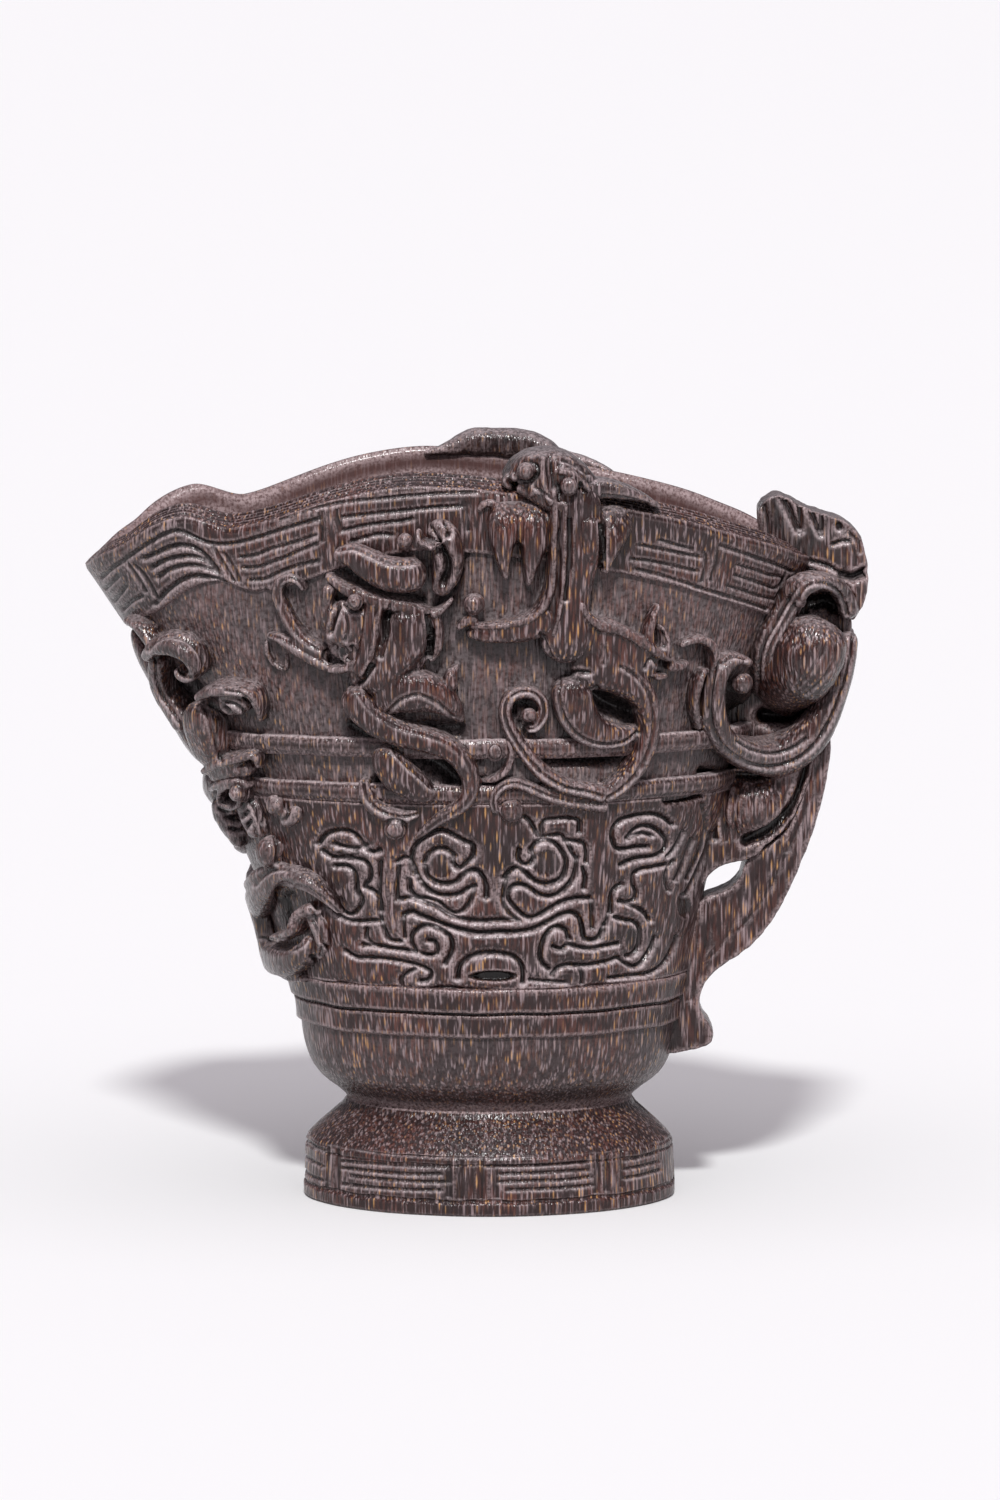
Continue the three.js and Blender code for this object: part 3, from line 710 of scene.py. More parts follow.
def roundOff(piece, voxel, soften):  # one closed skin, with its corners softened
    useModifier(piece, "REMESH", mode="VOXEL", voxel_size=voxel * mm, adaptivity=0.0)
    useModifier(piece, "SMOOTH", factor=0.5, iterations=soften)
    return piece


def fuse(name, shells, voxel=0.25, soften=2):
    points, faces, start = [], [], 0
    for shellPoints, shellFaces in shells:
        points.append(shellPoints)
        faces += [tuple(i + start for i in face) for face in shellFaces]
        start += len(shellPoints)
    return roundOff(meshPiece(name, np.concatenate(points), faces), voxel, soften)


farAway = 1e3  # stands for places that a line doesn't reach


def lineDistance(spots, line, reach):  # distance to a line within reach, and how far below it
    distance = np.full(len(spots), farAway)
    below = np.zeros(len(spots))
    low, high = line.min(0) - reach, line.max(0) + reach
    near = np.flatnonzero(np.all((spots > low) & (spots < high), axis=1))
    if not len(near):
        return distance, below
    here = spots[near]
    best, under = np.full(len(near), farAway), np.zeros(len(near))
    for a, b in zip(line[:-1], line[1:]):
        way = b - a
        t = np.clip((here - a) @ way / max(way @ way, 1e-9), 0, 1)
        offset = here - a - t[:, None] * way
        length = np.hypot(offset[:, 0], offset[:, 1])
        closer = length < best
        best[closer], under[closer] = length[closer], offset[closer, 1]
    distance[near], below[near] = best, under
    return distance, below


cutLook = {
    "reach": (2, 8),  # how far a line is felt: widths, and units more
    "groove": 0.55,  # shares of the width: groove, then the lip with dust and painted highlight
    "lipAt": 0.75,
    "lipWide": 0.5,
    "lipBelow": 0.7,
    "lipDustAndHighlightFull": 0.45,  # depth in mm of a cut whose lip takes full dust and painted highlight
    "lipDustAndHighlightUnder": 7,  # wider cuts take no dust and no painted highlight
    "dustAndHighlight": 0.8,
    "facing": (1.8, 0.1),  # cuts fade where the surface turns away
    "tooth": 0.045,  # chisel marks in mm
    "paintedShade": (0.2, 1.2, 0.95),  # painted shade in the cuts: depth where it starts, over how much, and at most
    "paintedBaseShade": (0.4, 1.8, 0.6),  # painted shade at a carving's foot: the same by the height off the wall
}


def cutLines(spots, strokes):  # depth of cuts, dust and painted highlight on their lips, distance
    cut, dustAndHighlight, nearest = np.zeros(len(spots)), np.zeros(len(spots)), np.full(len(spots), farAway)
    for line, width, depth in strokes:
        drawn = line if isinstance(line, np.ndarray) else drawnLine(line)[:, :2]
        distance, below = lineDistance(spots, drawn, width * cutLook["reach"][0] + cutLook["reach"][1])
        groove = np.exp(-(distance / (cutLook["groove"] * width)) ** 2)
        cut = np.maximum(cut, depth * groove)
        if width < cutLook["lipDustAndHighlightUnder"]:
            lip = np.exp(-((distance - cutLook["lipAt"] * width) / (cutLook["lipWide"] * width)) ** 2)
            lip = lip * ease(below / (cutLook["lipBelow"] * width))
            dustAndHighlight = np.maximum(dustAndHighlight, lip * min(1.0, depth / cutLook["lipDustAndHighlightFull"]))
        nearest = np.minimum(nearest, distance)
    return cut, dustAndHighlight, nearest


def chisel(piece, strokes, side=1, turn=0.0):  # cuts drawn lines into a carving, with painted shade in the cuts and at its foot, and dust with painted highlight on the lips
    points = readPoints(piece) / mm
    normals = readNormals(piece)
    cut, dustAndHighlight, _ = cutLines(frontPicture(points, side, turn), strokes)
    facing = np.clip(-normals[:, 1] * side * cutLook["facing"][0] + cutLook["facing"][1], 0, 1)
    marks = wobble(points[:, 0] * 1.7, points[:, 2] * 1.1 + points[:, 1], seed=3.0, size=0.7)
    angle, height = wallCoords(points)
    away = np.sum((points - wallPoint(angle, height)) * wallNormal(angle, height), axis=1)
    points += normals * (cutLook["tooth"] * marks - cut * facing)[:, None]
    writePoints(piece, points * mm)
    # painted shade where the carving meets the wall and in the deeper cuts; dust with painted highlight on
    # the cuts' lower lips
    start, over, most = cutLook["paintedBaseShade"]
    paintedBaseShade = most * (1 - ease((away - start) / over))
    start, over, most = cutLook["paintedShade"]
    paintedShading = np.maximum(np.clip((cut - start) / over, 0, most) * facing, paintedBaseShade)
    setMark(piece, "paintedShadeAndDarkening", np.maximum(getMark(piece, "paintedShadeAndDarkening"), paintedShading))
    setMark(piece, "dustAndHighlightMark", np.maximum(getMark(piece, "dustAndHighlightMark"), dustAndHighlight * facing * cutLook["dustAndHighlight"]))


# Bowl: outside, lip, inside and floor in one sheet

bowl = {
    "across": 440,
    "up": 205,
    "frontShare": 28,  # more columns at the front than at the back
    "zoneStarts": (0.0, 0.02, 0.08, 0.66, 0.68, 0.70, 0.73, 0.93, 0.96, 1.0),
    "edgeDrop": 1.6,  # lip, from the rim's height and in from the wall
    "slopeDrop": 0.5,
    "slopeIn": 0.4,
    "crownRise": 0.9,
    "crownIn": 3.0,
    "innerDrop": 0.4,
    "innerIn": 3.62,
    "floorRound": 6.0,
    "floorIn": 10.5,
    "middle": (-1.5, 0.0),
    "waves": (0.10, 0.05),
    "paintedPitShade": 0.9,  # depth in mm of a pit painted fully dark as shade
    "carvedFrom": 30,  # lowest carving that paints shade on the wall
    "besideEvery": 3,  # every third place of a carving's middle is enough
    "besideReach": 5.0,
    "besideFade": 1.3,
    "paintedShadeBeside": (0.35, 0.55),  # painted shade beside a carving, and more under it as painted shadow
    # dust with painted highlight on the wall above a carving
    "besideDustAndHighlight": 0.5,
    "darkening": (0.5, 6),  # darker towards the bottom of the basin: how much, and the height where it ends
    "plainDust": 0.18,  # dust on the plain wall above the mask
    "plainFrom": 44,
    "plainOver": 12,
    "basinDust": 0.07,  # dust on the basin's round side
    "pits": [  # hollows dug under the dragons and painted dark as shade: route, width, depth
        ([(596, 696), (608, 704), (622, 710), (634, 714)], 15, 2.4),
        ([(545, 757), (570, 757), (600, 757), (620, 755)], 12, 2.2),
        ([(512, 712), (513, 705), (520, 702), (530, 704)], 7, 1.2),
        ([(520, 722), (525, 730), (532, 733)], 6, 1.2),
        ([(580, 575), (583, 590)], 8, 1.0),
        ([(402, 746), (420, 757), (440, 768), (455, 780)], 17, 2.4),
        ([(425, 726), (440, 728), (460, 729)], 8, 1.8),
        ([(378, 782), (385, 793), (400, 802), (418, 804)], 9, 2.0),
        ([(350, 725), (360, 732), (372, 737)], 10, 1.2),
        ([(463, 545), (460, 570), (452, 590), (442, 602)], 8, 1.0),
        ([(340, 566), (360, 578), (380, 592), (400, 596), (420, 600)], 8, 1.2),
        ([(470, 757), (478, 755)], 7, 1.0),
        ([(482, 783), (495, 782)], 9, 1.4),
    ],
    "endPits": [
        ([(182, 676), (188, 688), (195, 696)], 16, 2.0),
        ([(240, 747), (256, 749)], 12, 1.6),
        ([(262, 868), (272, 868), (278, 862)], 8, 1.5),
        ([(733, 690), (738, 708), (746, 720)], 20, 2.4),
        ([(732, 680), (730, 690)], 8, 1.4),
        ([(704, 772), (714, 776)], 9, 1.6),
        ([(806, 610), (796, 622), (785, 637), (778, 652)], 13, 2.2),
        ([(752, 718), (772, 718), (796, 708), (812, 696)], 12, 2.0),
    ],
}


def makeBowl():
    sheet, u, v = gridSheet("bowlShell", bowl["across"], bowl["up"])
    angle = -360 * u - bowl["frontShare"] * np.sin(2 * np.pi * (u - 0.25)) - bowl["frontShare"]
    rim, floor = rimHeight(angle), cup["floorHeight"]
    stations = [  # height, push and shrink where each zone starts
        (0, 0, 0),
        (0, 0, 1),
        (cup["basinHeight"], 0, 1),
        (rim - bowl["edgeDrop"], 0, 1),
        (rim - bowl["slopeDrop"], -bowl["slopeIn"], 1),
        (rim + bowl["crownRise"], -bowl["crownIn"], 1),
        (rim - bowl["innerDrop"], -bowl["innerIn"], 1),
        (floor + bowl["floorRound"], -cup["wall"], 1),
        (floor, -bowl["floorIn"], 1),
        (floor, -bowl["floorIn"], 0),
    ]
    basinZone, wallZone, insideZone, roundZone = 1, 2, 5, 7
    starts = np.array(bowl["zoneStarts"])
    zone = np.clip(np.searchsorted(starts, v, side="right") - 1, 0, len(starts) - 2)
    t = (v - starts[zone]) / (starts[zone + 1] - starts[zone])
    heights = np.stack([np.broadcast_to(station[0], v.shape) for station in stations])
    pushes, shrinks = np.array([station[1:] for station in stations], float).T
    column = np.arange(len(v))
    drop = np.where(zone == roundZone, np.sin(t * np.pi / 2), t)
    turnIn = np.where(zone == roundZone, 1 - np.cos(t * np.pi / 2), t)
    height = mix(heights[zone, column], heights[zone + 1, column], drop)
    points = wallPoint(angle, height, mix(pushes[zone], pushes[zone + 1], turnIn))
    middle = np.array(bowl["middle"])
    points[:, :2] = middle + (points[:, :2] - middle) * mix(shrinks[zone], shrinks[zone + 1], t)[:, None]
    outer = (zone == basinZone) | (zone == wallZone)
    slow, quick = bowl["waves"]
    wave = slow * wobble(angle * 0.8, height, seed=2.0, size=5.0)
    wave = wave + quick * wobble(angle, height, seed=5.0, size=1.7)
    points[outer] += wallNormal(angle[outer], height[outer]) * wave[outer][:, None]

    # pits painted dark as shade, then painted shade beside and under the carvings and a little dust with
    # painted highlight above them
    paintedShadeAndDarkening, dustAndHighlight = np.zeros(len(points)), np.zeros(len(points))
    behind = np.where(np.mod(angle, 360) > 180, cup["backTurn"], 0)
    for pits, turned in ((bowl["pits"], behind), (bowl["endPits"], 0)):
        cut, _, _ = cutLines(pictureOf(wallPoint(foldedAngle(angle) - turned, height)), pits)
        cut = np.where(outer, cut, 0)
        points -= wallNormal(angle, height) * cut[:, None]
        paintedShadeAndDarkening = np.maximum(paintedShadeAndDarkening, np.clip(cut / bowl["paintedPitShade"], 0, 1))
    near = np.flatnonzero(outer & (height > bowl["carvedFrom"]))
    beside, beneath = bowl["paintedShadeBeside"]
    for spine, half in carvedLines:
        low, high = spine.min(0) - bowl["besideReach"], spine.max(0) + bowl["besideReach"]
        here = near[np.all((points[near] > low) & (points[near] < high), axis=1)]
        for spot, wide in zip(spine[::bowl["besideEvery"]], half[::bowl["besideEvery"]]):
            way = points[here] - spot
            far = np.linalg.norm(way, axis=1)
            under = np.clip(-way[:, 2] / np.maximum(far, 0.1), -1, 1)
            close = np.exp(-np.maximum(far - wide, 0) / bowl["besideFade"])
            paintedShadeAndDarkening[here] = np.maximum(paintedShadeAndDarkening[here], close * (beside + beneath * np.maximum(under, 0)))
            dustAndHighlight[here] = np.maximum(dustAndHighlight[here], bowl["besideDustAndHighlight"] * close * np.maximum(-under, 0))
    writePoints(sheet, points * mm)
    # darker towards the bottom of the basin
    darkenedLow = np.where(outer, 1 - ease(height / bowl["darkening"][1]), 0)
    paintedShadeAndDarkening = np.maximum(paintedShadeAndDarkening, darkenedLow * bowl["darkening"][0])
    plain = np.where(outer, ease((height - bowl["plainFrom"]) / bowl["plainOver"]), 0)
    dustAndHighlight = np.maximum(dustAndHighlight, bowl["plainDust"] * plain * (1 - paintedShadeAndDarkening))
    basin = outer & (height < cup["basinHeight"])
    dustAndHighlight = np.maximum(dustAndHighlight, np.where(basin, bowl["basinDust"] * (1 - darkenedLow), 0))
    setMark(sheet, "plain", plain)
    setMark(sheet, "inside", np.where(zone >= insideZone, 1.0, 0.0))
    setMark(sheet, "paintedShadeAndDarkening", paintedShadeAndDarkening)
    setMark(sheet, "dustAndHighlightMark", dustAndHighlight)
    closeUp(sheet)
    finishPiece(sheet, ["bowl"], "bamboo", wear=2.0)


# Rim: the fret band under it, and the sloping lip with its grooves

rimBand = {
    "across": 1000,
    "profile": [  # push from the wall, height from the rim, rows on
        (-0.8, -9.9, 2), (0.65, -9.75, 2), (0.8, -9.3, 42), (0.9, -1.0, 4), (0.6, -0.2, 3), (0.0, 0.12, 28),
        (-3.1, 1.75, 3), (-3.6, 1.7, 3), (-3.95, 1.0, 5), (-3.8, -3.0, 2), (-2.4, -3.4, 2), (-0.8, -9.9, 0),
    ],
    "lipGrooves": (0.16, 0.38, 0.60, 0.82),
    "lipGrooveDepth": 0.30,
    "lipGrooveWide": 0.06,  # share of the lip
    "lipGrooveWaver": 0.03,
    "lipGrooveStrength": (0.8, 0.35),  # mean, and how much it varies along the lip
    # painted shade in the lip's grooves
    "paintedLipShade": 0.5,
    "edgeWaver": 0.14,
    "tooth": 0.06,
    "paintedFretShade": (0.6, 0.8),  # depth in mm of a fret line painted fully dark as shade, and that shade at most
    "fretDustAndHighlight": 0.6,
    "fret": [  # route, width, depth
        ([(122, 561), (135, 552), (150, 542), (165, 534), (178, 531), (188, 534), (200, 540), (210, 543),
            (235, 543), (255, 538), (280, 530), (300, 524), (318, 519)], 3.4, 0.55),
        ([(143, 558), (156, 553), (170, 547), (182, 545), (192, 547), (202, 553), (210, 561),
            (217, 570)], 4.2, 0.65),
        ([(152, 567), (165, 560), (178, 557), (190, 556), (200, 558), (208, 563), (217, 571)], 4.2, 0.65),
        ([(158, 577), (166, 571), (176, 567), (188, 565), (200, 566), (210, 569), (219, 574)], 4.2, 0.6),
        ([(155, 603), (165, 592), (175, 584), (185, 578), (195, 576), (208, 577), (218, 579), (228, 585),
            (238, 590), (248, 593), (258, 594), (266, 591)], 4.5, 0.7),
        ([(212, 545), (219, 556), (227, 570), (234, 581)], 2.6, 0.45),
        ([(224, 553), (230, 562), (235, 571), (239, 581)], 2.6, 0.45),
        ([(240, 557), (255, 555), (270, 549), (285, 545), (302, 540), (315, 535)], 3.2, 0.45),
        ([(243, 568), (258, 567), (272, 562), (288, 556), (303, 549), (316, 544)], 3.2, 0.45),
        ([(250, 580), (264, 579), (280, 572), (300, 565), (318, 561)], 3.2, 0.45),
        ([(321, 512), (322, 526), (322, 541)], 2.6, 0.4),
        ([(337, 510), (339, 521), (341, 532)], 2.6, 0.4),
        ([(343, 517), (370, 514), (400, 511), (440, 507), (462, 506)], 3.2, 0.45),
        ([(344, 530), (362, 526), (382, 523), (402, 521), (412, 519)], 3.2, 0.5),
        ([(352, 541), (366, 537), (380, 534), (392, 535)], 3.2, 0.45),
        ([(464, 503), (466, 516), (468, 530)], 2.6, 0.4),
        ([(280, 519), (300, 511), (322, 506), (345, 502), (385, 498), (430, 494), (475, 492)], 3.0, 0.4),
        ([(124, 560), (131, 568), (138, 579), (145, 591)], 3.2, 0.45),
        ([(134, 565), (142, 573), (150, 585), (157, 598)], 3.2, 0.45),
        ([(101, 577), (110, 569), (122, 561)], 3.6, 0.6),
        ([(105, 588), (111, 582), (117, 576)], 3.6, 0.6),
        ([(114, 600), (119, 594), (125, 586)], 3.6, 0.6),
        ([(123, 608), (131, 601), (141, 596)], 3.6, 0.6),
        ([(660, 540), (676, 545), (692, 549)], 2.4, 0.4),
        ([(640, 545), (660, 549), (680, 553), (700, 557)], 2.8, 0.42),
        ([(632, 559), (655, 562), (678, 567), (697, 571)], 2.8, 0.42),
        ([(636, 569), (660, 575), (680, 581), (692, 585)], 2.8, 0.42),
        ([(704, 552), (706, 566), (702, 581)], 2.6, 0.4),
        ([(720, 545), (717, 562), (711, 580)], 2.6, 0.4),
        ([(690, 585), (710, 591), (730, 597), (750, 603), (767, 609)], 3.0, 0.45),
        ([(722, 546), (740, 552), (760, 559), (775, 564), (792, 571)], 3.0, 0.45),
        ([(738, 565), (755, 570), (770, 575), (783, 578), (776, 588), (765, 585), (750, 580),
            (735, 575)], 2.6, 0.4),
        ([(728, 586), (745, 591), (760, 596), (774, 599)], 2.6, 0.4),
        ([(786, 572), (782, 586), (776, 600)], 2.4, 0.4),
    ],
}


def profileSheet(name, across, profile):  # a sheet round the cup with that profile
    counts = [stop[2] for stop in profile]
    rows = int(sum(counts))
    sheet, u, v = gridSheet(name, across, rows)
    place = np.concatenate([[0], np.cumsum(counts)[:-1]]) / rows
    first = np.interp(v, place, [stop[0] for stop in profile])
    second = np.interp(v, place, [stop[1] for stop in profile])
    return sheet, -360 * u, v, place, first, second


def makeRim():
    sheet, angle, v, place, out, lifted = profileSheet("rimFretBand", rimBand["across"], rimBand["profile"])
    faceStart, faceEnd, lipStart, lipEnd, insideStart, backStart = place[[1, 4, 5, 6, 7, 9]]
    face = (v >= faceStart) & (v <= faceEnd)
    lip = (v > lipStart) & (v < lipEnd)
    across = np.clip((v - lipStart) / (lipEnd - lipStart), 0, 1)
    grooves = np.zeros_like(v)
    mean, varies = rimBand["lipGrooveStrength"]
    for n, groove in enumerate(rimBand["lipGrooves"]):
        waver = rimBand["lipGrooveWaver"] * wobble(angle * 0.5, n * 3.0, seed=1.0 + n, size=3.0)
        strength = mean + varies * wobble(angle, 0, seed=2.0 + n, size=9.0)
        away = (across + waver - groove) / rimBand["lipGrooveWide"]
        grooves = np.maximum(grooves, strength * np.exp(-away ** 2))
    lifted = lifted - np.where(lip, grooves * rimBand["lipGrooveDepth"], 0)
    shown = (v > faceStart / 4) & (v < backStart)  # the first and last row meet, so they stay plain
    lifted = lifted + np.where(shown, rimBand["edgeWaver"] * wobble(angle * 0.6, 0, seed=4.0, size=3.0), 0)
    height = rimHeight(angle) + lifted
    cut, dustAndHighlight, _ = cutLines(pictureOf(mirrorToFront(wallPoint(angle, height, out))), rimBand["fret"])
    cut = np.where(face, cut, 0)
    tooth = rimBand["tooth"] * wobble(angle, lifted, seed=1.0, size=2.0)
    tooth = np.where(shown & (v < lipStart), tooth, 0)
    writePoints(sheet, wallPoint(angle, height, out - cut + tooth) * mm)
    # painted shade in the fret lines and lip grooves; dust with painted highlight on the fret lines' lips
    paintedShading, most = rimBand["paintedFretShade"]
    setMark(sheet, "inside", np.where(v > insideStart, 1.0, 0.0))
    setMark(sheet, "paintedShadeAndDarkening", np.clip(cut / paintedShading, 0, most) + np.where(lip, rimBand["paintedLipShade"] * grooves, 0))
    setMark(sheet, "dustAndHighlightMark", np.where(face, dustAndHighlight * rimBand["fretDustAndHighlight"], 0))
    closeUp(sheet)
    finishPiece(sheet, ["rim_fret_band"], "bamboo", wear=0.25)


# Mask band: a beast mask in low relief, its lines drawn as seen

maskBand = {
    "across": {1: 470, -1: 330},  # front and back; the back is carved less finely
    "rows": {1: 196, -1: 140},
    "angles": (0.5, 179.5),
    "edgeRows": 2,  # at the top and at the bottom
    "backRows": 6,  # down the side that lies in the wall
    "base": 20.1,
    "height": 28.4,
    "face": 0.95,  # pushes from the wall in mm
    "edge": 0.35,
    "back": 0.9,
    "drawnAt": 1.1,  # the lines are drawn on a surface that far out
    "waver": 0.8,
    "pillow": (0.38, 6.0, 30),  # swell between lines in mm, how fast it grows, and how far
    "hollowEdge": (1.15, 0.45),  # shares of a hollow's size: where its edge ends, and how soft it is
    "tooth": 0.05,
    "paintedShade": (0.8, 0.95),  # depth in mm of a line painted fully dark as shade, and that shade at most
    # dust with painted highlight on the lines' lower lips
    "dustAndHighlight": 0.9,
    "lines": [  # route, width, depth
        # left eye, cheek and snout
        ([(413, 874), (411, 861), (414, 848), (422, 839), (432, 832), (441, 830), (452, 834), (462, 840),
            (473, 845), (473, 855), (467, 862), (459, 868), (454, 864), (453, 857)], 4.4, 0.75),
        ([(424, 862), (429, 854), (438, 849), (447, 850), (454, 856)], 4.6, 0.75),
        ([(424, 866), (427, 876), (434, 881), (446, 883), (456, 881), (462, 875), (468, 871), (477, 871),
            (483, 877), (486, 886), (486, 897)], 4.6, 0.8),
        ([(415, 871), (420, 881), (427, 889), (437, 894), (448, 895), (459, 893), (468, 888),
            (474, 886)], 4.4, 0.8),
        ([(409, 880), (410, 890), (416, 897), (428, 899), (438, 902), (446, 909), (455, 913), (463, 910),
            (469, 902), (473, 890)], 4.2, 0.75),
        ([(400, 899), (412, 898), (424, 902), (436, 907), (447, 914), (462, 919), (480, 921), (500, 920),
            (517, 919)], 4.4, 0.75),
        ([(404, 915), (412, 912), (420, 915), (432, 920), (445, 925), (460, 930), (478, 933), (500, 932),
            (520, 931), (535, 928), (548, 922), (562, 915), (572, 913), (579, 916), (583, 926), (586, 938),
            (592, 940), (599, 938), (603, 931), (606, 924)], 4.6, 0.85),
        ([(404, 915), (403, 926), (404, 937)], 4.0, 0.7),
        ([(380, 862), (379, 880), (379, 900), (380, 916), (384, 930), (390, 940), (400, 941)], 4.0, 0.7),
        ([(398, 866), (397, 882), (398, 900)], 3.6, 0.6),
        ([(396, 861), (403, 857), (410, 859), (415, 868), (418, 880)], 3.6, 0.65),
        ([(415, 951), (411, 944), (411, 936), (417, 929), (425, 925), (434, 926), (443, 931), (450, 938),
            (452, 946), (449, 956), (445, 963)], 4.4, 0.8),
        ([(420, 953), (429, 955), (436, 953), (437, 947), (434, 941), (428, 940)], 4.0, 0.8),
        ([(363, 945), (376, 946), (390, 948), (405, 950), (415, 952)], 4.2, 0.8),
        ([(345, 950), (356, 957), (370, 958), (386, 959), (400, 961), (414, 964), (424, 968), (431, 974),
            (428, 980), (420, 981)], 3.6, 0.7),
        ([(402, 986), (401, 978), (406, 973), (414, 969)], 3.4, 0.6),
        ([(338, 983), (366, 988), (392, 987), (420, 990), (446, 988), (480, 990), (520, 994), (560, 991),
            (600, 986), (640, 984), (680, 979)], 3.4, 0.55),
        # left side scroll
        ([(318, 843), (325, 834), (337, 830), (349, 831), (358, 837), (364, 846), (372, 852),
            (379, 850)], 4.2, 0.75),
        ([(334, 843), (346, 847), (358, 848), (366, 845)], 3.8, 0.7),
        ([(322, 850), (331, 856), (343, 858), (356, 859), (365, 862), (370, 870), (369, 880), (364, 886),
            (372, 890), (379, 898), (381, 910)], 4.0, 0.75),
        ([(336, 866), (346, 866), (353, 871), (356, 880), (357, 890), (361, 900), (357, 909), (350, 914),
            (342, 911), (337, 903)], 4.0, 0.75),
        ([(330, 908), (343, 918), (358, 921), (372, 920), (381, 920)], 3.8, 0.7),
        ([(366, 929), (367, 939), (373, 945)], 3.6, 0.65),
        # nose and right eye
        ([(508, 879), (505, 889), (504, 900), (507, 909), (513, 916), (519, 920)], 4.4, 0.8),
        ([(524, 817), (529, 820), (534, 828), (540, 837), (551, 836), (562, 835), (567, 841), (571, 850),
            (576, 858)], 3.8, 0.65),
        ([(531, 851), (537, 843), (545, 840), (555, 843), (562, 851), (566, 860), (565, 870), (562, 877),
            (553, 882), (542, 883), (533, 879), (525, 872), (518, 868), (511, 871), (505, 878)], 4.6, 0.8),
        ([(519, 850), (518, 858), (523, 864), (530, 863), (534, 856), (531, 849)], 4.2, 0.75),
        ([(577, 858), (576, 868), (572, 880), (565, 889), (556, 895), (546, 896), (537, 893), (528, 887),
            (519, 885), (511, 888), (508, 896), (512, 904), (519, 911), (526, 916), (533, 917), (543, 913),
            (553, 907), (563, 902), (574, 899), (590, 898)], 4.4, 0.8),
        ([(565, 840), (576, 841), (584, 843), (587, 851), (586, 862)], 3.8, 0.65),
        ([(583, 868), (585, 878), (584, 888)], 3.6, 0.6),
        ([(543, 837), (541, 829), (545, 821), (556, 819), (570, 818), (579, 820), (580, 831)], 3.6, 0.6),
        ([(592, 900), (593, 915), (593, 928)], 3.6, 0.6),
        ([(611, 898), (610, 912), (606, 925)], 3.6, 0.6),
        # right side scroll
        ([(648, 846), (636, 847), (625, 849), (617, 848), (613, 840), (613, 830), (619, 822), (629, 818),
            (641, 815), (653, 814), (664, 817), (673, 824)], 4.2, 0.8),
        ([(628, 838), (635, 830), (645, 826), (655, 828), (663, 834), (667, 842), (664, 850), (657, 855),
            (643, 857), (631, 860), (622, 865)], 4.2, 0.8),
        ([(629, 838), (636, 835), (644, 833), (652, 835)], 3.6, 0.7),
        ([(667, 864), (655, 867), (642, 869), (635, 873), (634, 884), (637, 893), (634, 900), (627, 902),
            (620, 901)], 4.0, 0.75),
        ([(622, 884), (616, 888), (612, 895), (613, 904), (612, 912)], 4.0, 0.75),
        ([(628, 903), (638, 908), (645, 913), (650, 920)], 4.0, 0.75),
        ([(616, 917), (626, 920), (635, 922), (640, 928), (641, 938), (640, 946), (635, 953),
            (627, 956)], 4.0, 0.75),
        ([(656, 938), (652, 948), (647, 956), (641, 963), (634, 966), (626, 963), (618, 958), (610, 961),
            (598, 963), (586, 965), (577, 965), (567, 965), (558, 968), (553, 974)], 4.0, 0.75),
        ([(569, 938), (567, 931), (562, 928), (555, 927), (548, 932), (543, 941), (541, 950), (541, 958),
            (544, 964), (550, 969)], 4.4, 0.8),
        ([(554, 947), (562, 949), (568, 944), (576, 946), (590, 948), (605, 946), (618, 944)], 4.0, 0.75),
        ([(580, 967), (582, 975), (582, 984)], 3.2, 0.55),
        ([(610, 978), (625, 976), (640, 974), (655, 970), (664, 964), (670, 955), (674, 946),
            (677, 936)], 3.6, 0.65),
        # feather at the handle
        ([(703, 805), (706, 818), (706, 832), (702, 847), (695, 863), (688, 878)], 3.6, 0.65),
        ([(711, 833), (708, 848), (702, 862), (694, 880), (687, 894)], 3.6, 0.65),
        ([(692, 840), (684, 860), (676, 880)], 3.2, 0.55),
        ([(673, 861), (668, 870), (666, 880), (669, 891)], 3.4, 0.6),
        ([(683, 832), (676, 846), (668, 856)], 3.2, 0.55),
        # arch
        ([(458, 978), (459, 968), (464, 961), (472, 956), (483, 953), (494, 952), (505, 954), (515, 958),
            (521, 965), (523, 973), (523, 982)], 4.4, 0.75),
        ([(530, 980), (548, 981), (566, 982)], 3.0, 0.5),
        # deep cuts beside the coil and the feather, painted dark as shade
        ([(288, 898), (291, 908), (292, 917)], 13.0, 1.6),
        ([(668, 800), (685, 797), (700, 793)], 7.0, 1.2),
    ],
    "hollows": [  # centre, half sizes, depth
        (493, 976, 24, 5.5, 1.2), (440, 866, 15, 12, 0.35), (547, 863, 15, 13, 0.35),
        (684, 905, 7, 13, 0.6), (632, 940, 7, 12, 0.4), (348, 853, 12, 4, 0.4),
    ],
}


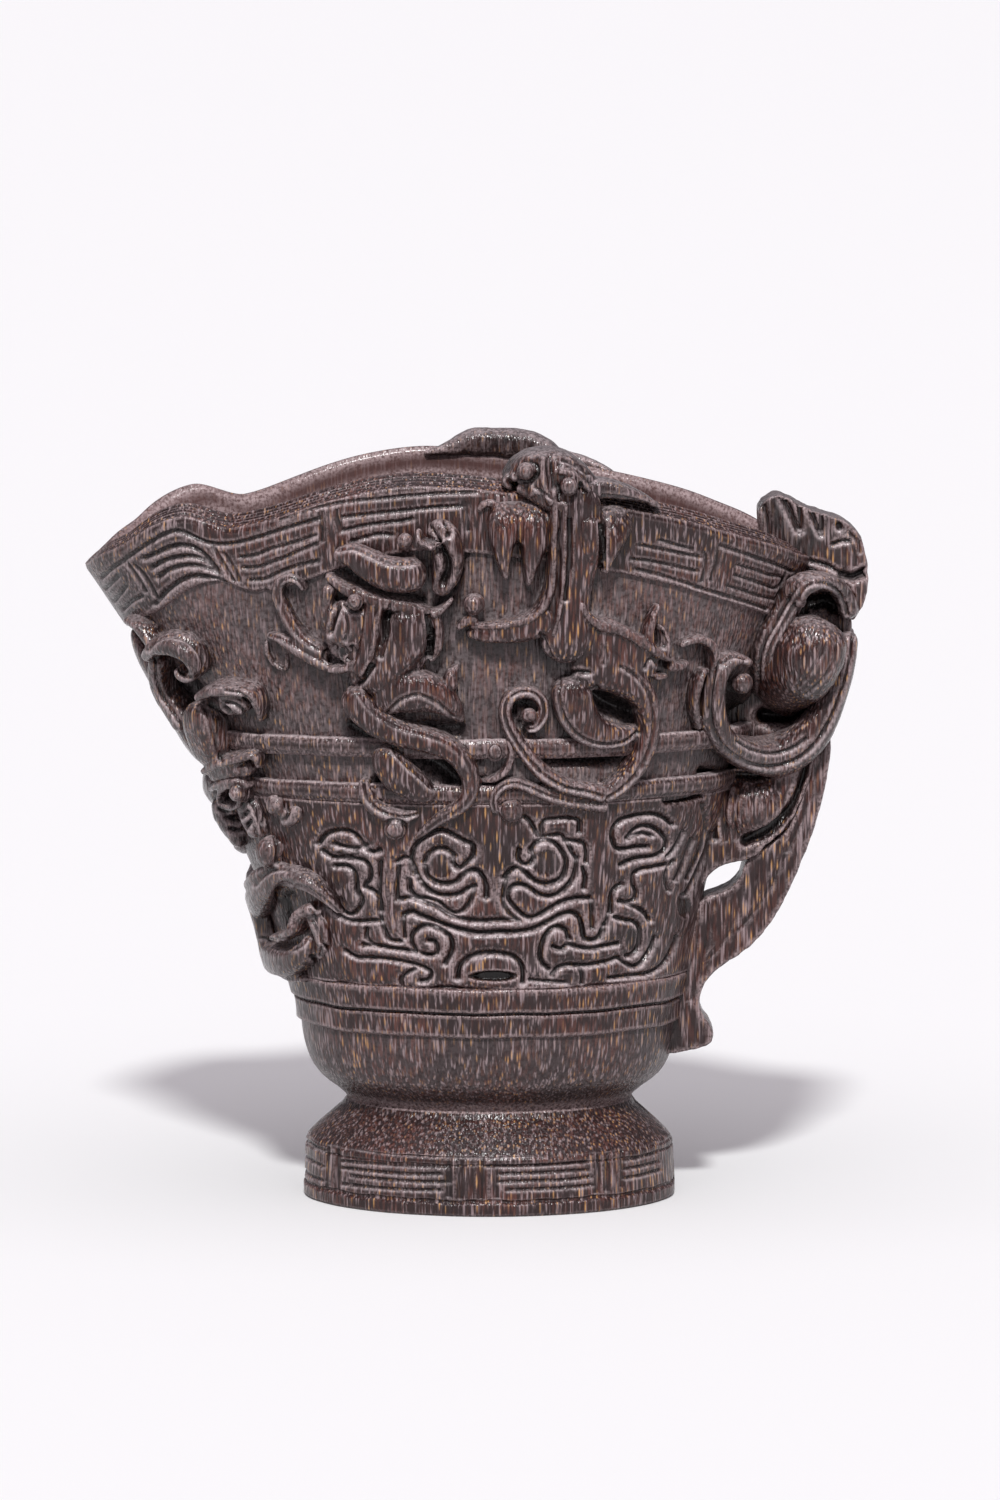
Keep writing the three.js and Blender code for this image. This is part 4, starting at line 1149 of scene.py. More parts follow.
def makeMask(name, side):
    rows, edge = maskBand["rows"][side], maskBand["edgeRows"]
    allRows = rows + 2 * edge + maskBand["backRows"]
    sheet, u, v = gridSheet(name, maskBand["across"][side], allRows)
    row = np.rint(v * allRows)  # edge, front, edge, then down the back
    angle = side * mix(*maskBand["angles"], u)
    share = np.clip((row - edge) / rows, 0, 1)
    share = np.where(row > rows + 2 * edge, np.clip((allRows - row) / maskBand["backRows"], 0, 1), share)
    height = maskBand["base"] + maskBand["height"] * share
    front = (row >= edge) & (row <= rows + edge)
    spots = pictureOf(mirrorToFront(wallPoint(angle, height, maskBand["drawnAt"])))
    acrossWaver = wobble(spots[:, 0], spots[:, 1], seed=1.0, size=15.0)
    upWaver = wobble(spots[:, 0], spots[:, 1], seed=2.5, size=13.0)
    spots = spots + maskBand["waver"] * np.stack([acrossWaver, upWaver], axis=1)
    cut, dustAndHighlight, nearest = cutLines(spots, maskBand["lines"])
    swell, growth, farthest = maskBand["pillow"]
    pillow = swell * (1 - np.exp(-(np.minimum(nearest, farthest) / growth) ** 2))
    for x, y, wide, tall, depth in maskBand["hollows"]:
        inside = np.hypot((spots[:, 0] - x) / wide, (spots[:, 1] - y) / tall)
        cut = cut + depth * ease((maskBand["hollowEdge"][0] - inside) / maskBand["hollowEdge"][1])
    tooth = maskBand["tooth"] * wobble(spots[:, 0] * 0.35, spots[:, 1] * 0.06, seed=3.0, size=1.0)
    out = np.where(front, maskBand["face"] + pillow - cut + tooth, -maskBand["back"])
    out = np.where((row == edge - 1) | (row == rows + edge + 1), maskBand["edge"], out)
    writePoints(sheet, wallPoint(angle, height, out) * mm)
    # painted shade in the lines and hollows; dust with painted highlight on the lines' lower lips
    paintedShading, most = maskBand["paintedShade"]
    setMark(sheet, "paintedShadeAndDarkening", np.where(front, np.clip(cut / paintedShading, 0, most), 0))
    setMark(sheet, "dustAndHighlightMark", np.where(front, dustAndHighlight * maskBand["dustAndHighlight"], 0))
    closeUp(sheet)
    finishPiece(sheet, ["mask_band"], "bamboo", wear=0.22)


# Fillets and steps that go round the bowl

roundBands = {  # profile: push from the wall, height above the base; dust with painted highlight on the tops
    "upperFillet": {
        "base": 55.5,
        "profile": [(-0.8, 0), (1.25, 0.05), (1.7, 0.9), (1.65, 2.1), (1.2, 2.95), (-0.8, 3.0)],
        "nodes": ["upper_fillet"],
        "dustAndHighlight": 0.9,
    },
    "lowerFillet": {
        "base": 48.5,
        "profile": [(-0.8, 0), (1.25, 0.05), (1.75, 0.9), (1.7, 2.1), (1.2, 2.95), (-0.8, 3.0)],
        "nodes": ["lower_fillet"],
        "dustAndHighlight": 0.9,
    },
    "stepRings": {
        "base": 12.3,
        "profile": [
            (-0.8, 0.0), (0.2, 0.0), (0.75, 0.35), (0.85, 3.5), (0.45, 3.75), (0.45, 3.95),
            (1.25, 4.2), (1.4, 7.0), (1.25, 7.6), (0.6, 7.9), (-0.8, 7.9),
        ],
        "nodes": ["lower_step_ring", "upper_step_ring"],
        "dustAndHighlight": 0.0,
    },
}
bandForm = {
    "across": 560,
    "rowSize": 0.28,
    "shownFrom": -0.5,  # rows deeper in the wall stay plain
    "upWaver": 0.16,
    "outWaver": 0.10,
}


def makeRoundBand(name):
    form = roundBands[name]
    stops = np.array(form["profile"] + form["profile"][:1])
    counts = np.maximum(2, np.round(np.hypot(*np.diff(stops, axis=0).T) / bandForm["rowSize"])).astype(int)
    counts[-1] = 2
    profile = [(out, lifted, count) for (out, lifted), count in zip(stops, [*counts, 0])]
    sheet, angle, _, _, out, lifted = profileSheet(name, bandForm["across"], profile)
    shown = out > bandForm["shownFrom"]
    upWaver = bandForm["upWaver"] * wobble(angle * 0.5, 0, seed=3.3, size=3.0)
    lifted = lifted + np.where(shown, upWaver, 0)
    outWaver = bandForm["outWaver"] * wobble(angle * 0.7, lifted * 2, seed=1.2, size=3.0)
    out = out + np.where(shown, outWaver, 0)
    writePoints(sheet, wallPoint(angle, form["base"] + lifted, out) * mm)
    closeUp(sheet)
    finishPiece(sheet, form["nodes"], "bamboo", upDustAndHighlight=form["dustAndHighlight"])


# Foot: waist, shoulder, fret and plinth in one sheet

foot = {
    "darkening": (0.25, 8.6, 2),  # darker on the slope and waist: how much, from this height, over so much
    "across": 410,
    "profile": [  # half length, height, rows to the next
        (0.0, 15.6, 3), (21.4, 15.6, 2), (22.1, 15.1, 10), (22.7, 14.2, 14), (24.4, 12.7, 12),
        (26.2, 11.1, 10), (27.5, 9.8, 5), (28.0, 9.2, 3), (28.05, 8.95, 4), (28.3, 8.6, 4), (28.35, 8.1, 3),
        (28.15, 7.85, 4), (28.4, 7.6, 38), (28.65, 2.7, 3), (28.3, 2.4, 3), (28.3, 2.2, 3),
        (28.65, 1.95, 3), (28.8, 1.7, 9), (28.75, 0.35, 3), (28.4, 0.02, 3), (27.6, 0.0, 4), (0.0, 0.0, 0),
    ],
    "aspect": 0.755,
    "lowEdge": (1.5, 2.9, 0.18),  # heights between which an edge wavers, and how much
    "highEdge": (7.4, 9.4, 0.14),
    "band": (2.5, 9.2),
    "wave": 0.10,
    "waveFrom": 21,  # half length from which the side is uneven
    # painted shade in the fret lines: depth in mm of a fully dark line, and that shade at most
    "paintedFretShade": (0.5, 0.55),
    "fretDustAndHighlight": 0.5,
    "fret": [  # route, width, depth
        ([(338, 1150), (338, 1168), (337, 1190)], 3.0, 0.40),
        ([(328, 1148), (326, 1168), (326, 1188)], 3.0, 0.40),
        ([(342, 1161), (380, 1164), (420, 1166), (446, 1167)], 3.0, 0.42),
        ([(342, 1168), (370, 1171), (410, 1174), (440, 1174)], 3.0, 0.42),
        ([(350, 1176), (390, 1180), (430, 1182), (448, 1182)], 3.0, 0.42),
        ([(342, 1184), (380, 1188), (420, 1190), (440, 1190)], 3.0, 0.42),
        ([(449, 1163), (449, 1178), (449, 1196)], 3.0, 0.40),
        ([(460, 1161), (460, 1180), (460, 1198)], 3.0, 0.40),
        ([(482, 1160), (482, 1180), (482, 1198)], 3.0, 0.40),
        ([(497, 1163), (497, 1180), (497, 1197)], 3.0, 0.40),
        ([(486, 1166), (520, 1166), (560, 1164), (586, 1162)], 3.0, 0.42),
        ([(500, 1174), (540, 1173), (570, 1171), (588, 1170)], 3.0, 0.42),
        ([(500, 1182), (530, 1181), (565, 1180), (590, 1177)], 3.0, 0.42),
        ([(508, 1190), (540, 1189), (575, 1187), (592, 1185)], 3.0, 0.42),
        ([(598, 1156), (598, 1174), (597, 1192)], 3.0, 0.40),
        ([(607, 1155), (607, 1172), (606, 1190)], 3.0, 0.40),
        ([(622, 1152), (623, 1168), (622, 1186)], 3.0, 0.40),
        ([(626, 1160), (642, 1157), (656, 1153)], 3.0, 0.42),
        ([(626, 1169), (642, 1166), (658, 1162)], 3.0, 0.42),
        ([(626, 1178), (642, 1175), (660, 1170)], 3.0, 0.42),
        ([(306, 1140), (314, 1146), (324, 1150)], 3.0, 0.42),
        ([(305, 1156), (312, 1161), (322, 1166)], 3.0, 0.42),
        ([(304, 1170), (311, 1176), (322, 1180)], 3.0, 0.42),
        ([(330, 1143), (380, 1152), (440, 1156), (500, 1156), (560, 1153), (620, 1147),
            (655, 1139)], 2.6, 0.32),
    ],
}


def makeFoot():
    sheet, angle, v, place, half, height = profileSheet("footBody", foot["across"], foot["profile"])
    turn = np.radians(angle)
    low, high, waver = foot["lowEdge"]
    edgeWaver = waver * wobble(angle * 0.7, 0, seed=6.0, size=2.0)
    edge = np.where((height > low) & (height < high), edgeWaver, 0)
    low, high, waver = foot["highEdge"]
    edgeWaver = waver * wobble(angle * 0.9, 0, seed=2.0, size=2.5)
    edge = edge + np.where((height > low) & (height < high), edgeWaver, 0)

    def placed(size):
        return np.stack([size * np.cos(turn), -size * foot["aspect"] * np.sin(turn), height + edge], axis=1)

    slopeRow = place[5]
    band = (height > foot["band"][0]) & (height < foot["band"][1]) & (v > slopeRow)
    cut, dustAndHighlight, _ = cutLines(pictureOf(mirrorToFront(placed(half))), foot["fret"])
    wave = foot["wave"] * wobble(angle * 0.5, height * 1.5, seed=2.0, size=3.0)
    half = half - np.where(band, cut, 0) + wave * (half > foot["waveFrom"])
    writePoints(sheet, placed(half) * mm)
    # darker on the slope and waist; painted shade in the fret lines, dust with painted highlight on their
    # lips
    darkening, start, over = foot["darkening"]
    paintedShading, most = foot["paintedFretShade"]
    slope = darkening * ease((height - start) / over)
    setMark(sheet, "paintedShadeAndDarkening", np.where(band, np.clip(cut / paintedShading, 0, most), slope))
    setMark(sheet, "dustAndHighlightMark", np.where(band, dustAndHighlight * foot["fretDustAndHighlight"], 0))
    closeUp(sheet)
    finishPiece(sheet, ["foot", "foot_fret_band", "plinth"], "bamboo")


# Dragons. Lines are grooves along a strand: offset from its middle, width, depth.
# Cuts have a route, a width and a depth in mm; beads a place, half sizes, depth and lift.

def carved(route, width, relief, **more):
    return dict(route=route, width=width, relief=relief, **more)


split = [(0.1, 3.0, 0.35)]
double = [(-0.35, 2.8, 0.3), (0.4, 2.8, 0.3)]

rimDragon = {
    "body": [
        # neck and chest, with a lock beside them
        carved([(572, 482), (575, 505), (577, 530), (576, 555), (570, 585), (566, 610), (570, 635),
            (580, 660)], (44, 52, 50, 46, 44, 46, 60, 64), (3.6, 4.0, 4.0, 4.0, 4.0, 4.2, 4.6, 4.8)),
        carved([(588, 512), (589, 535), (590, 555), (593, 572)], (26, 27, 22, 4), (4.4, 4.6, 4.4, 3.4)),
        # ridges down the neck, and the left arm
        carved([(552, 486), (553, 505), (552, 540), (551, 572), (548, 592), (541, 606), (529, 617),
            (512, 623), (492, 625), (468, 625)], (7, 8, 8, 8, 9, 9, 9, 9, 8, 5),
            (4.4, 4.8, 5.0, 5.0, 5.0, 4.8, 4.6, 4.2, 3.8, 2.8)),
        carved([(564, 500), (563, 530), (562, 560), (560, 590), (556, 615), (550, 636)], (5, 6, 6, 6, 7, 6),
            (4.4, 4.7, 4.7, 4.7, 4.9, 4.6)),
        carved([(556, 612), (542, 622), (525, 630), (506, 633), (486, 634), (466, 633)],
            (30, 26, 22, 19, 17, 8), (4.4, 4.4, 4.2, 3.8, 3.4, 2.4)),
        # right arm and paw
        carved([(579, 598), (584, 613), (596, 623), (615, 628), (634, 638), (652, 650), (671, 660)],
            (6, 10, 13, 13, 12, 11, 5), (4.2, 4.8, 5.0, 5.0, 4.6, 4.0, 2.6)),
        carved([(584, 630), (604, 642), (624, 652), (642, 662), (656, 668)], (50, 50, 44, 34, 18),
            (4.2, 4.4, 4.3, 4.0, 3.2)),
        carved([(636, 677), (646, 672), (656, 676), (667, 674)], (5, 7, 7, 4), (3.4, 3.6, 3.2, 2.2)),
        # flank, hip, and the leg that runs into the tail
        carved([(580, 646), (596, 659), (614, 668), (628, 680), (640, 696)], (64, 62, 54, 40, 26),
            (4.4, 4.6, 4.5, 4.3, 4.2)),
        carved([(573, 677), (572, 695), (577, 713), (589, 728), (607, 735), (626, 734), (637, 727)],
            (36, 40, 40, 36, 30, 22, 10), (4.6, 4.9, 4.7, 4.3, 3.9, 3.5, 2.6), lines=[(0.72, 3.0, 0.45)]),
        carved([(614, 674), (632, 684), (644, 700), (648, 720), (646, 740), (639, 759), (627, 776),
            (611, 790), (598, 798)], (36, 32, 26, 22, 21, 21, 21, 20, 16),
            (4.4, 4.6, 4.5, 4.3, 4.1, 3.9, 3.7, 3.5, 3.2), lines=[(-0.55, 2.6, 0.3)]),
        # pointed locks under the rim, and a curl
        carved([(518, 502, -1.4), (519, 520, 0.2), (520, 546, 1.0)], (56, 60, 44), (2.2, 2.9, 2.9)),
        carved([(508, 508, -1.2), (505, 526, 0.6), (503, 548, 1.3), (504, 566, 1.6), (506, 581, 1.7)],
            (34, 34, 26, 14, 3), (2.6, 3.2, 3.3, 3.1, 2.6)),
        carved([(534, 506, -1.0), (534, 526, 0.6), (533, 550, 1.3), (530, 572, 1.6), (528, 587, 1.7)],
            (32, 33, 28, 15, 3), (2.6, 3.2, 3.3, 3.1, 2.6)),
        carved([(612, 512, -1.2), (614, 527, 0.6), (611, 541, 1.2), (607, 558, 1.6), (604, 575, 1.7)],
            (24, 36, 27, 14, 3), (2.4, 3.0, 3.3, 3.1, 2.6)),
        carved([(478, 513), (483, 505), (492, 503), (498, 509), (492, 516)], (6, 8, 8, 8, 6),
            (1.4, 1.8, 2.0, 1.8, 1.4)),
        # claws, left and right
        carved([(478, 616, 0.6), (467, 621, 0.6), (456, 629, 0.4)], (12, 10, 5), (2.6, 2.4, 1.8)),
        carved([(650, 652, 0.4), (648, 634, 0.8), (652, 617, 0.8), (658, 603, 0.6)], (13, 11, 8, 3),
            (3.0, 2.8, 2.4, 1.8)),
        carved([(664, 655, 0.4), (665, 640, 0.6), (659, 624, 0.6)], (12, 10, 4), (2.8, 2.4, 1.8)),
        carved([(666, 664, 0.2), (678, 666, 0.2), (688, 661, 0.0)], (14, 9, 4), (2.8, 2.4, 1.6)),
    ],
    "bodyBeads": [(474, 604, 11, 11, 1.8, 2.4)],
    "bodyCuts": [
        ([(541, 634), (548, 650), (556, 665), (563, 672)], 4.0, 0.4),
        ([(556, 674), (572, 672), (590, 673)], 4.0, 0.7),
        ([(602, 524), (603, 545), (602, 568)], 4.4, 1.0),
        ([(518, 548), (518, 556), (517, 564)], 6.0, 1.0),
        ([(596, 688), (606, 696), (620, 701), (634, 708)], 4.0, 0.6),
        ([(645, 668), (652, 658), (660, 668)], 3.0, 0.5),
        ([(570, 520), (570, 560), (566, 600)], 3.4, 0.5),
        ([(604, 645), (606, 655), (604, 664)], 2.8, 0.3),
        ([(660, 618), (661, 632), (664, 645)], 5.0, 1.0),
    ],
    "tail": [
        # long curl, and the strand under it
        carved([(606, 796), (590, 791), (566, 786), (546, 775), (530, 759), (517, 741), (508, 724),
            (505, 710), (510, 698), (522, 692), (535, 694), (543, 705), (541, 719), (533, 728), (525, 728)],
            (18, 18, 17, 17, 17, 16, 15, 14, 13, 13, 13, 13, 12, 11, 8),
            (3.6, 3.5, 3.4, 3.3, 3.2, 3.1, 3.0, 3.0, 3.0, 3.0, 2.9, 2.8, 2.8, 2.8, 2.6),
            lines=[(-0.15, 2.6, 0.4)]),
        carved([(608, 806), (588, 804), (566, 801), (546, 795), (528, 787), (512, 783), (499, 789),
            (493, 801), (497, 814)], (14, 14, 14, 14, 13, 12, 11, 10, 8),
            (3.0, 3.0, 2.8, 2.8, 2.7, 2.6, 2.6, 2.4, 2.2), lines=[(0.1, 2.4, 0.3)]),
    ],
    "tailBeads": [(529, 715, 8, 7, 1.3, 2.2), (511, 811, 12, 12, 1.5, 1.3)],
}

wallDragon = {
    "head": [
        # muzzle, ear and nostril
        carved([(352, 598), (350, 615), (347, 632), (348, 648), (352, 660)], (40, 46, 44, 38, 26),
            (4.4, 5.0, 5.2, 4.8, 3.6)),
        carved([(331, 584, 0.6), (328, 600, 0.8), (326, 616, 0.8), (326, 631, 0.6)], (14, 12, 8, 3),
            (3.6, 3.4, 3.0, 2.2)),
        carved([(363, 641), (353, 640), (346, 647), (347, 657), (355, 661), (361, 655)], (7, 8, 8, 8, 7, 5),
            (5.0, 5.2, 5.0, 4.6, 4.6, 4.4)),
        # lower jaw, and the whiskers to the left
        carved([(328, 667), (342, 667), (354, 664), (364, 655)], (8, 11, 11, 7), (4.2, 4.6, 4.6, 4.2)),
        carved([(334, 667), (316, 658), (298, 648), (280, 638), (266, 634)], (14, 16, 15, 12, 4),
            (3.4, 3.2, 3.0, 2.6, 1.5), lines=[(0.0, 2.8, 0.2)]),
        carved([(328, 654), (306, 641), (292, 625), (283, 607), (278, 592), (281, 582), (291, 578),
            (301, 583), (306, 592)], (10, 13, 14, 14, 13, 12, 11, 9, 5),
            (3.0, 2.9, 2.7, 2.5, 2.4, 2.3, 2.2, 2.0, 1.6), lines=[(-0.1, 2.8, 0.2)]),
        carved([(266, 640), (268, 654), (277, 666), (285, 669), (287, 660), (286, 653)], (4, 5, 5, 5, 4, 3),
            (0.8, 0.9, 0.9, 0.9, 0.9, 0.7)),
    ],
    "headBeads": [(355, 602, 8, 8, 1.6, 5.8)],
    "headCuts": [
        ([(331, 652), (336, 656), (342, 655)], 11.0, 2.4),
        ([(346, 604), (352, 611), (360, 610), (364, 602)], 4.0, 0.8),
        ([(338, 606), (334, 618), (329, 632)], 5.0, 1.2),
        ([(352, 648), (355, 652), (352, 656)], 4.0, 0.9),
        ([(345, 614), (348, 626), (345, 640)], 3.0, 0.4),
    ],
    "body": [
        # arm raised over the head, and the paw at its end
        carved([(336, 555, 1.2), (350, 555, 1.8), (368, 565, 2.2), (386, 574, 2.4), (406, 576, 2.4),
            (426, 570, 2.4)], (12, 24, 30, 33, 34, 30), (2.6, 3.6, 4.0, 4.2, 4.2, 4.0),
            lines=[(-0.75, 3.2, 0.3)]),
        carved([(438, 594, 0.8), (446, 575, 1.4), (448, 552, 1.6), (442, 534, 1.4), (430, 525, 1.0)],
            (14, 28, 32, 30, 18), (2.4, 3.2, 3.6, 3.4, 2.6)),
        carved([(419, 531, 1.2), (422, 541, 1.6), (430, 546, 1.8), (440, 543, 1.8), (446, 535, 1.6)],
            (6, 7, 8, 7, 5), (3.6, 4.2, 4.4, 4.2, 3.6)),
        # brow under it
        carved([(326, 574, 0.6), (345, 587, 0.8), (365, 595, 0.8), (382, 601, 0.8), (402, 605, 0.8),
            (420, 610, 0.8), (434, 613, 0.8), (446, 605, 0.6), (453, 597, 0.4)],
            (5, 11, 15, 15, 15, 15, 12, 8, 4), (2.6, 3.4, 3.8, 4.0, 4.2, 4.0, 3.6, 3.0, 2.0)),
        # chest, with its ridges and side fold
        carved([(386, 604), (387, 622), (384, 645), (376, 668), (362, 692)], (84, 92, 88, 74, 48),
            (3.4, 3.8, 4.0, 4.0, 4.2)),
        carved([(374, 596), (371, 614), (369, 636), (366, 656), (356, 674)], (15, 15, 15, 17, 18),
            (4.4, 4.8, 5.0, 5.0, 4.6)),
        carved([(384, 598), (379, 616), (376, 638), (371, 657), (362, 676)], (9, 9, 9, 11, 14),
            (4.8, 5.2, 5.4, 5.4, 5.0)),
        carved([(408, 600), (410, 618), (408, 636), (398, 654), (384, 672), (366, 690)],
            (40, 46, 44, 40, 38, 34), (4.4, 5.2, 5.6, 5.4, 5.2, 4.8)),
        carved([(434, 612), (438, 632), (436, 650), (430, 662)], (10, 13, 12, 5), (3.6, 3.8, 3.6, 2.6)),
        # thigh and spur
        carved([(376, 712), (388, 699), (405, 692), (424, 692), (442, 700), (455, 711), (463, 722)],
            (18, 34, 42, 42, 34, 22, 6), (3.8, 4.8, 5.4, 5.4, 4.8, 3.8, 2.2)),
        carved([(452, 696), (450, 682), (453, 671), (459, 664)], (6, 17, 13, 3), (2.6, 3.6, 3.2, 2.0)),
    ],
    "bodyBeads": [(405, 541, 8, 8, 1.6, 3.2)],
    "bodyCuts": [
        ([(391, 604), (387, 620), (385, 640), (381, 656)], 4.0, 0.6),
        ([(428, 612), (431, 634), (429, 656)], 5.0, 1.2),
        ([(441, 550), (447, 560), (448, 572), (443, 583)], 9.0, 1.9),
        ([(427, 527), (431, 534), (436, 540)], 7.0, 1.8),
        ([(446, 521), (449, 529), (447, 536)], 5.0, 1.2),
        ([(385, 716), (398, 702), (416, 695), (436, 702), (452, 716)], 3.0, 0.4),
        ([(352, 690), (362, 681), (372, 666)], 4.0, 1.0),
        ([(424, 548), (430, 560), (428, 572)], 4.0, 0.8),
    ],
    "tail": [
        # tail in an S, with a leaf inside it and one below
        carved([(350, 686), (360, 704), (376, 720), (398, 732), (424, 739), (448, 748), (464, 763),
            (471, 781), (468, 797), (456, 809), (440, 818), (426, 829), (412, 841)],
            (30, 32, 30, 28, 26, 25, 23, 21, 18, 16, 14, 10, 4),
            (4.8, 5.2, 5.2, 5.0, 4.8, 4.6, 4.4, 4.2, 3.8, 3.4, 3.0, 2.4, 1.4), lines=[(-0.3, 2.6, 0.15)]),
        carved([(384, 744), (387, 758), (397, 773), (413, 785), (428, 793), (438, 793)],
            (22, 32, 36, 33, 26, 12), (4.2, 4.4, 4.4, 4.2, 3.6, 2.6), lines=[(-0.72, 3.0, 0.3)]),
        carved([(364, 777), (366, 792), (375, 806), (390, 814), (406, 816), (421, 812)],
            (10, 15, 17, 16, 14, 7), (2.2, 2.8, 3.0, 3.0, 2.8, 2.0), lines=split),
        # loose curl to the right
        carved([(507, 737), (511, 752), (507, 768), (495, 778), (480, 781)], (5, 7, 8, 8, 3),
            (2.0, 2.3, 2.4, 2.4, 1.6)),
    ],
    "tailBeads": [(395, 830, 11, 10, 1.6, 1.8), (495, 752, 9, 10, 1.3, 1.6)],
    "tailCuts": [(ringRoute(395, 830, 11, 10), 3.6, 0.6), (ringRoute(495, 752, 9, 10), 3.6, 0.6)],
}

spoutDragon = {
    "crest": [
        carved([(127, 617), (138, 622), (148, 632), (156, 643)], (6, 11, 12, 12), (2.4, 3.0, 3.2, 3.4)),
        carved([(150, 655), (158, 646), (172, 643), (186, 648), (197, 660), (199, 670), (192, 675),
            (184, 671), (182, 663)], (12, 17, 20, 21, 19, 16, 12, 9, 6),
            (3.8, 4.4, 4.8, 4.8, 4.6, 4.4, 4.2, 4.0, 3.8), lines=[(-0.72, 3.0, 0.35)]),
        carved([(160, 655), (160, 672), (165, 690), (176, 707), (190, 728)], (18, 20, 21, 22, 22),
            (3.4, 3.8, 4.0, 4.2, 4.4), lines=[(0.5, 3.0, 0.4)]),
    ],
    "shoulder": [
        carved([(198, 700), (203, 722), (209, 742), (217, 766)], (30, 44, 44, 34), (4.6, 5.2, 5.0, 4.4),
            lines=[(-0.3, 2.6, 0.25)]),
        carved([(202, 694), (216, 688), (236, 688), (254, 692), (261, 706), (263, 722)],
            (10, 12, 12, 11, 9, 5), (5.2, 5.4, 5.2, 4.6, 3.6, 2.2)),
        carved([(222, 700), (238, 702), (250, 710)], (26, 28, 20), (4.4, 4.4, 3.8)),
        carved([(210, 768), (222, 761), (242, 756), (257, 754), (263, 768)], (9, 10, 10, 9, 5),
            (4.6, 4.8, 4.4, 3.6, 2.4)),
        carved([(216, 772), (236, 767), (256, 768)], (18, 20, 14), (4.2, 4.2, 3.2)),
    ],
    "shoulderCuts": [
        ([(211, 702), (221, 707), (230, 716), (236, 727)], 5.5, 1.3),
        ([(222, 702), (234, 704), (246, 713)], 3.4, 0.7),
        ([(226, 690), (240, 693), (250, 702)], 3.0, 0.4),
    ],
    "coil": [
        carved([(268, 836), (270, 850), (270, 865)], (22, 27, 22), (3.8, 4.3, 4.0),
            lines=[(-0.6, 3.0, 0.4)]),
        carved([(343, 914), (326, 894), (307, 880), (286, 877), (269, 885), (260, 901), (258, 922),
            (263, 943), (277, 957), (294, 960), (308, 950), (313, 934)],
            (3, 12, 18, 22, 28, 34, 38, 40, 38, 32, 24, 10),
            (1.8, 3.2, 4.0, 4.2, 4.2, 4.2, 4.2, 4.4, 4.6, 4.6, 4.2, 3.2), lines=[(-0.8, 3.0, 0.3)]),
        carved([(325, 912), (312, 908), (303, 914), (299, 926), (290, 934), (278, 934)],
            (8, 12, 14, 14, 12, 6), (3.2, 4.0, 4.6, 4.8, 4.6, 4.2)),
        carved([(252, 887), (262, 875), (276, 868), (291, 868)], (14, 16, 14, 8), (3.8, 4.0, 3.6, 2.8),
            lines=split),
        carved([(309, 906), (320, 925), (324, 942), (320, 959)], (12, 17, 15, 6), (2.8, 3.3, 3.0, 2.0),
            lines=split),
        carved([(281, 968), (296, 975), (311, 979)], (9, 13, 6), (3.0, 3.2, 2.2)),
    ],
    "coilCuts": [
        ([(283, 892), (287, 905), (292, 916)], 14.0, 3.0),
        ([(296, 889), (308, 895), (320, 906), (330, 916)], 6.0, 1.6),
        ([(312, 921), (317, 931), (323, 944), (330, 949)], 3.4, 0.7),
        ([(262, 938), (280, 940), (298, 938)], 3.0, 0.4),
        ([(312, 957), (318, 962), (323, 965)], 4.0, 0.7),
    ],
}

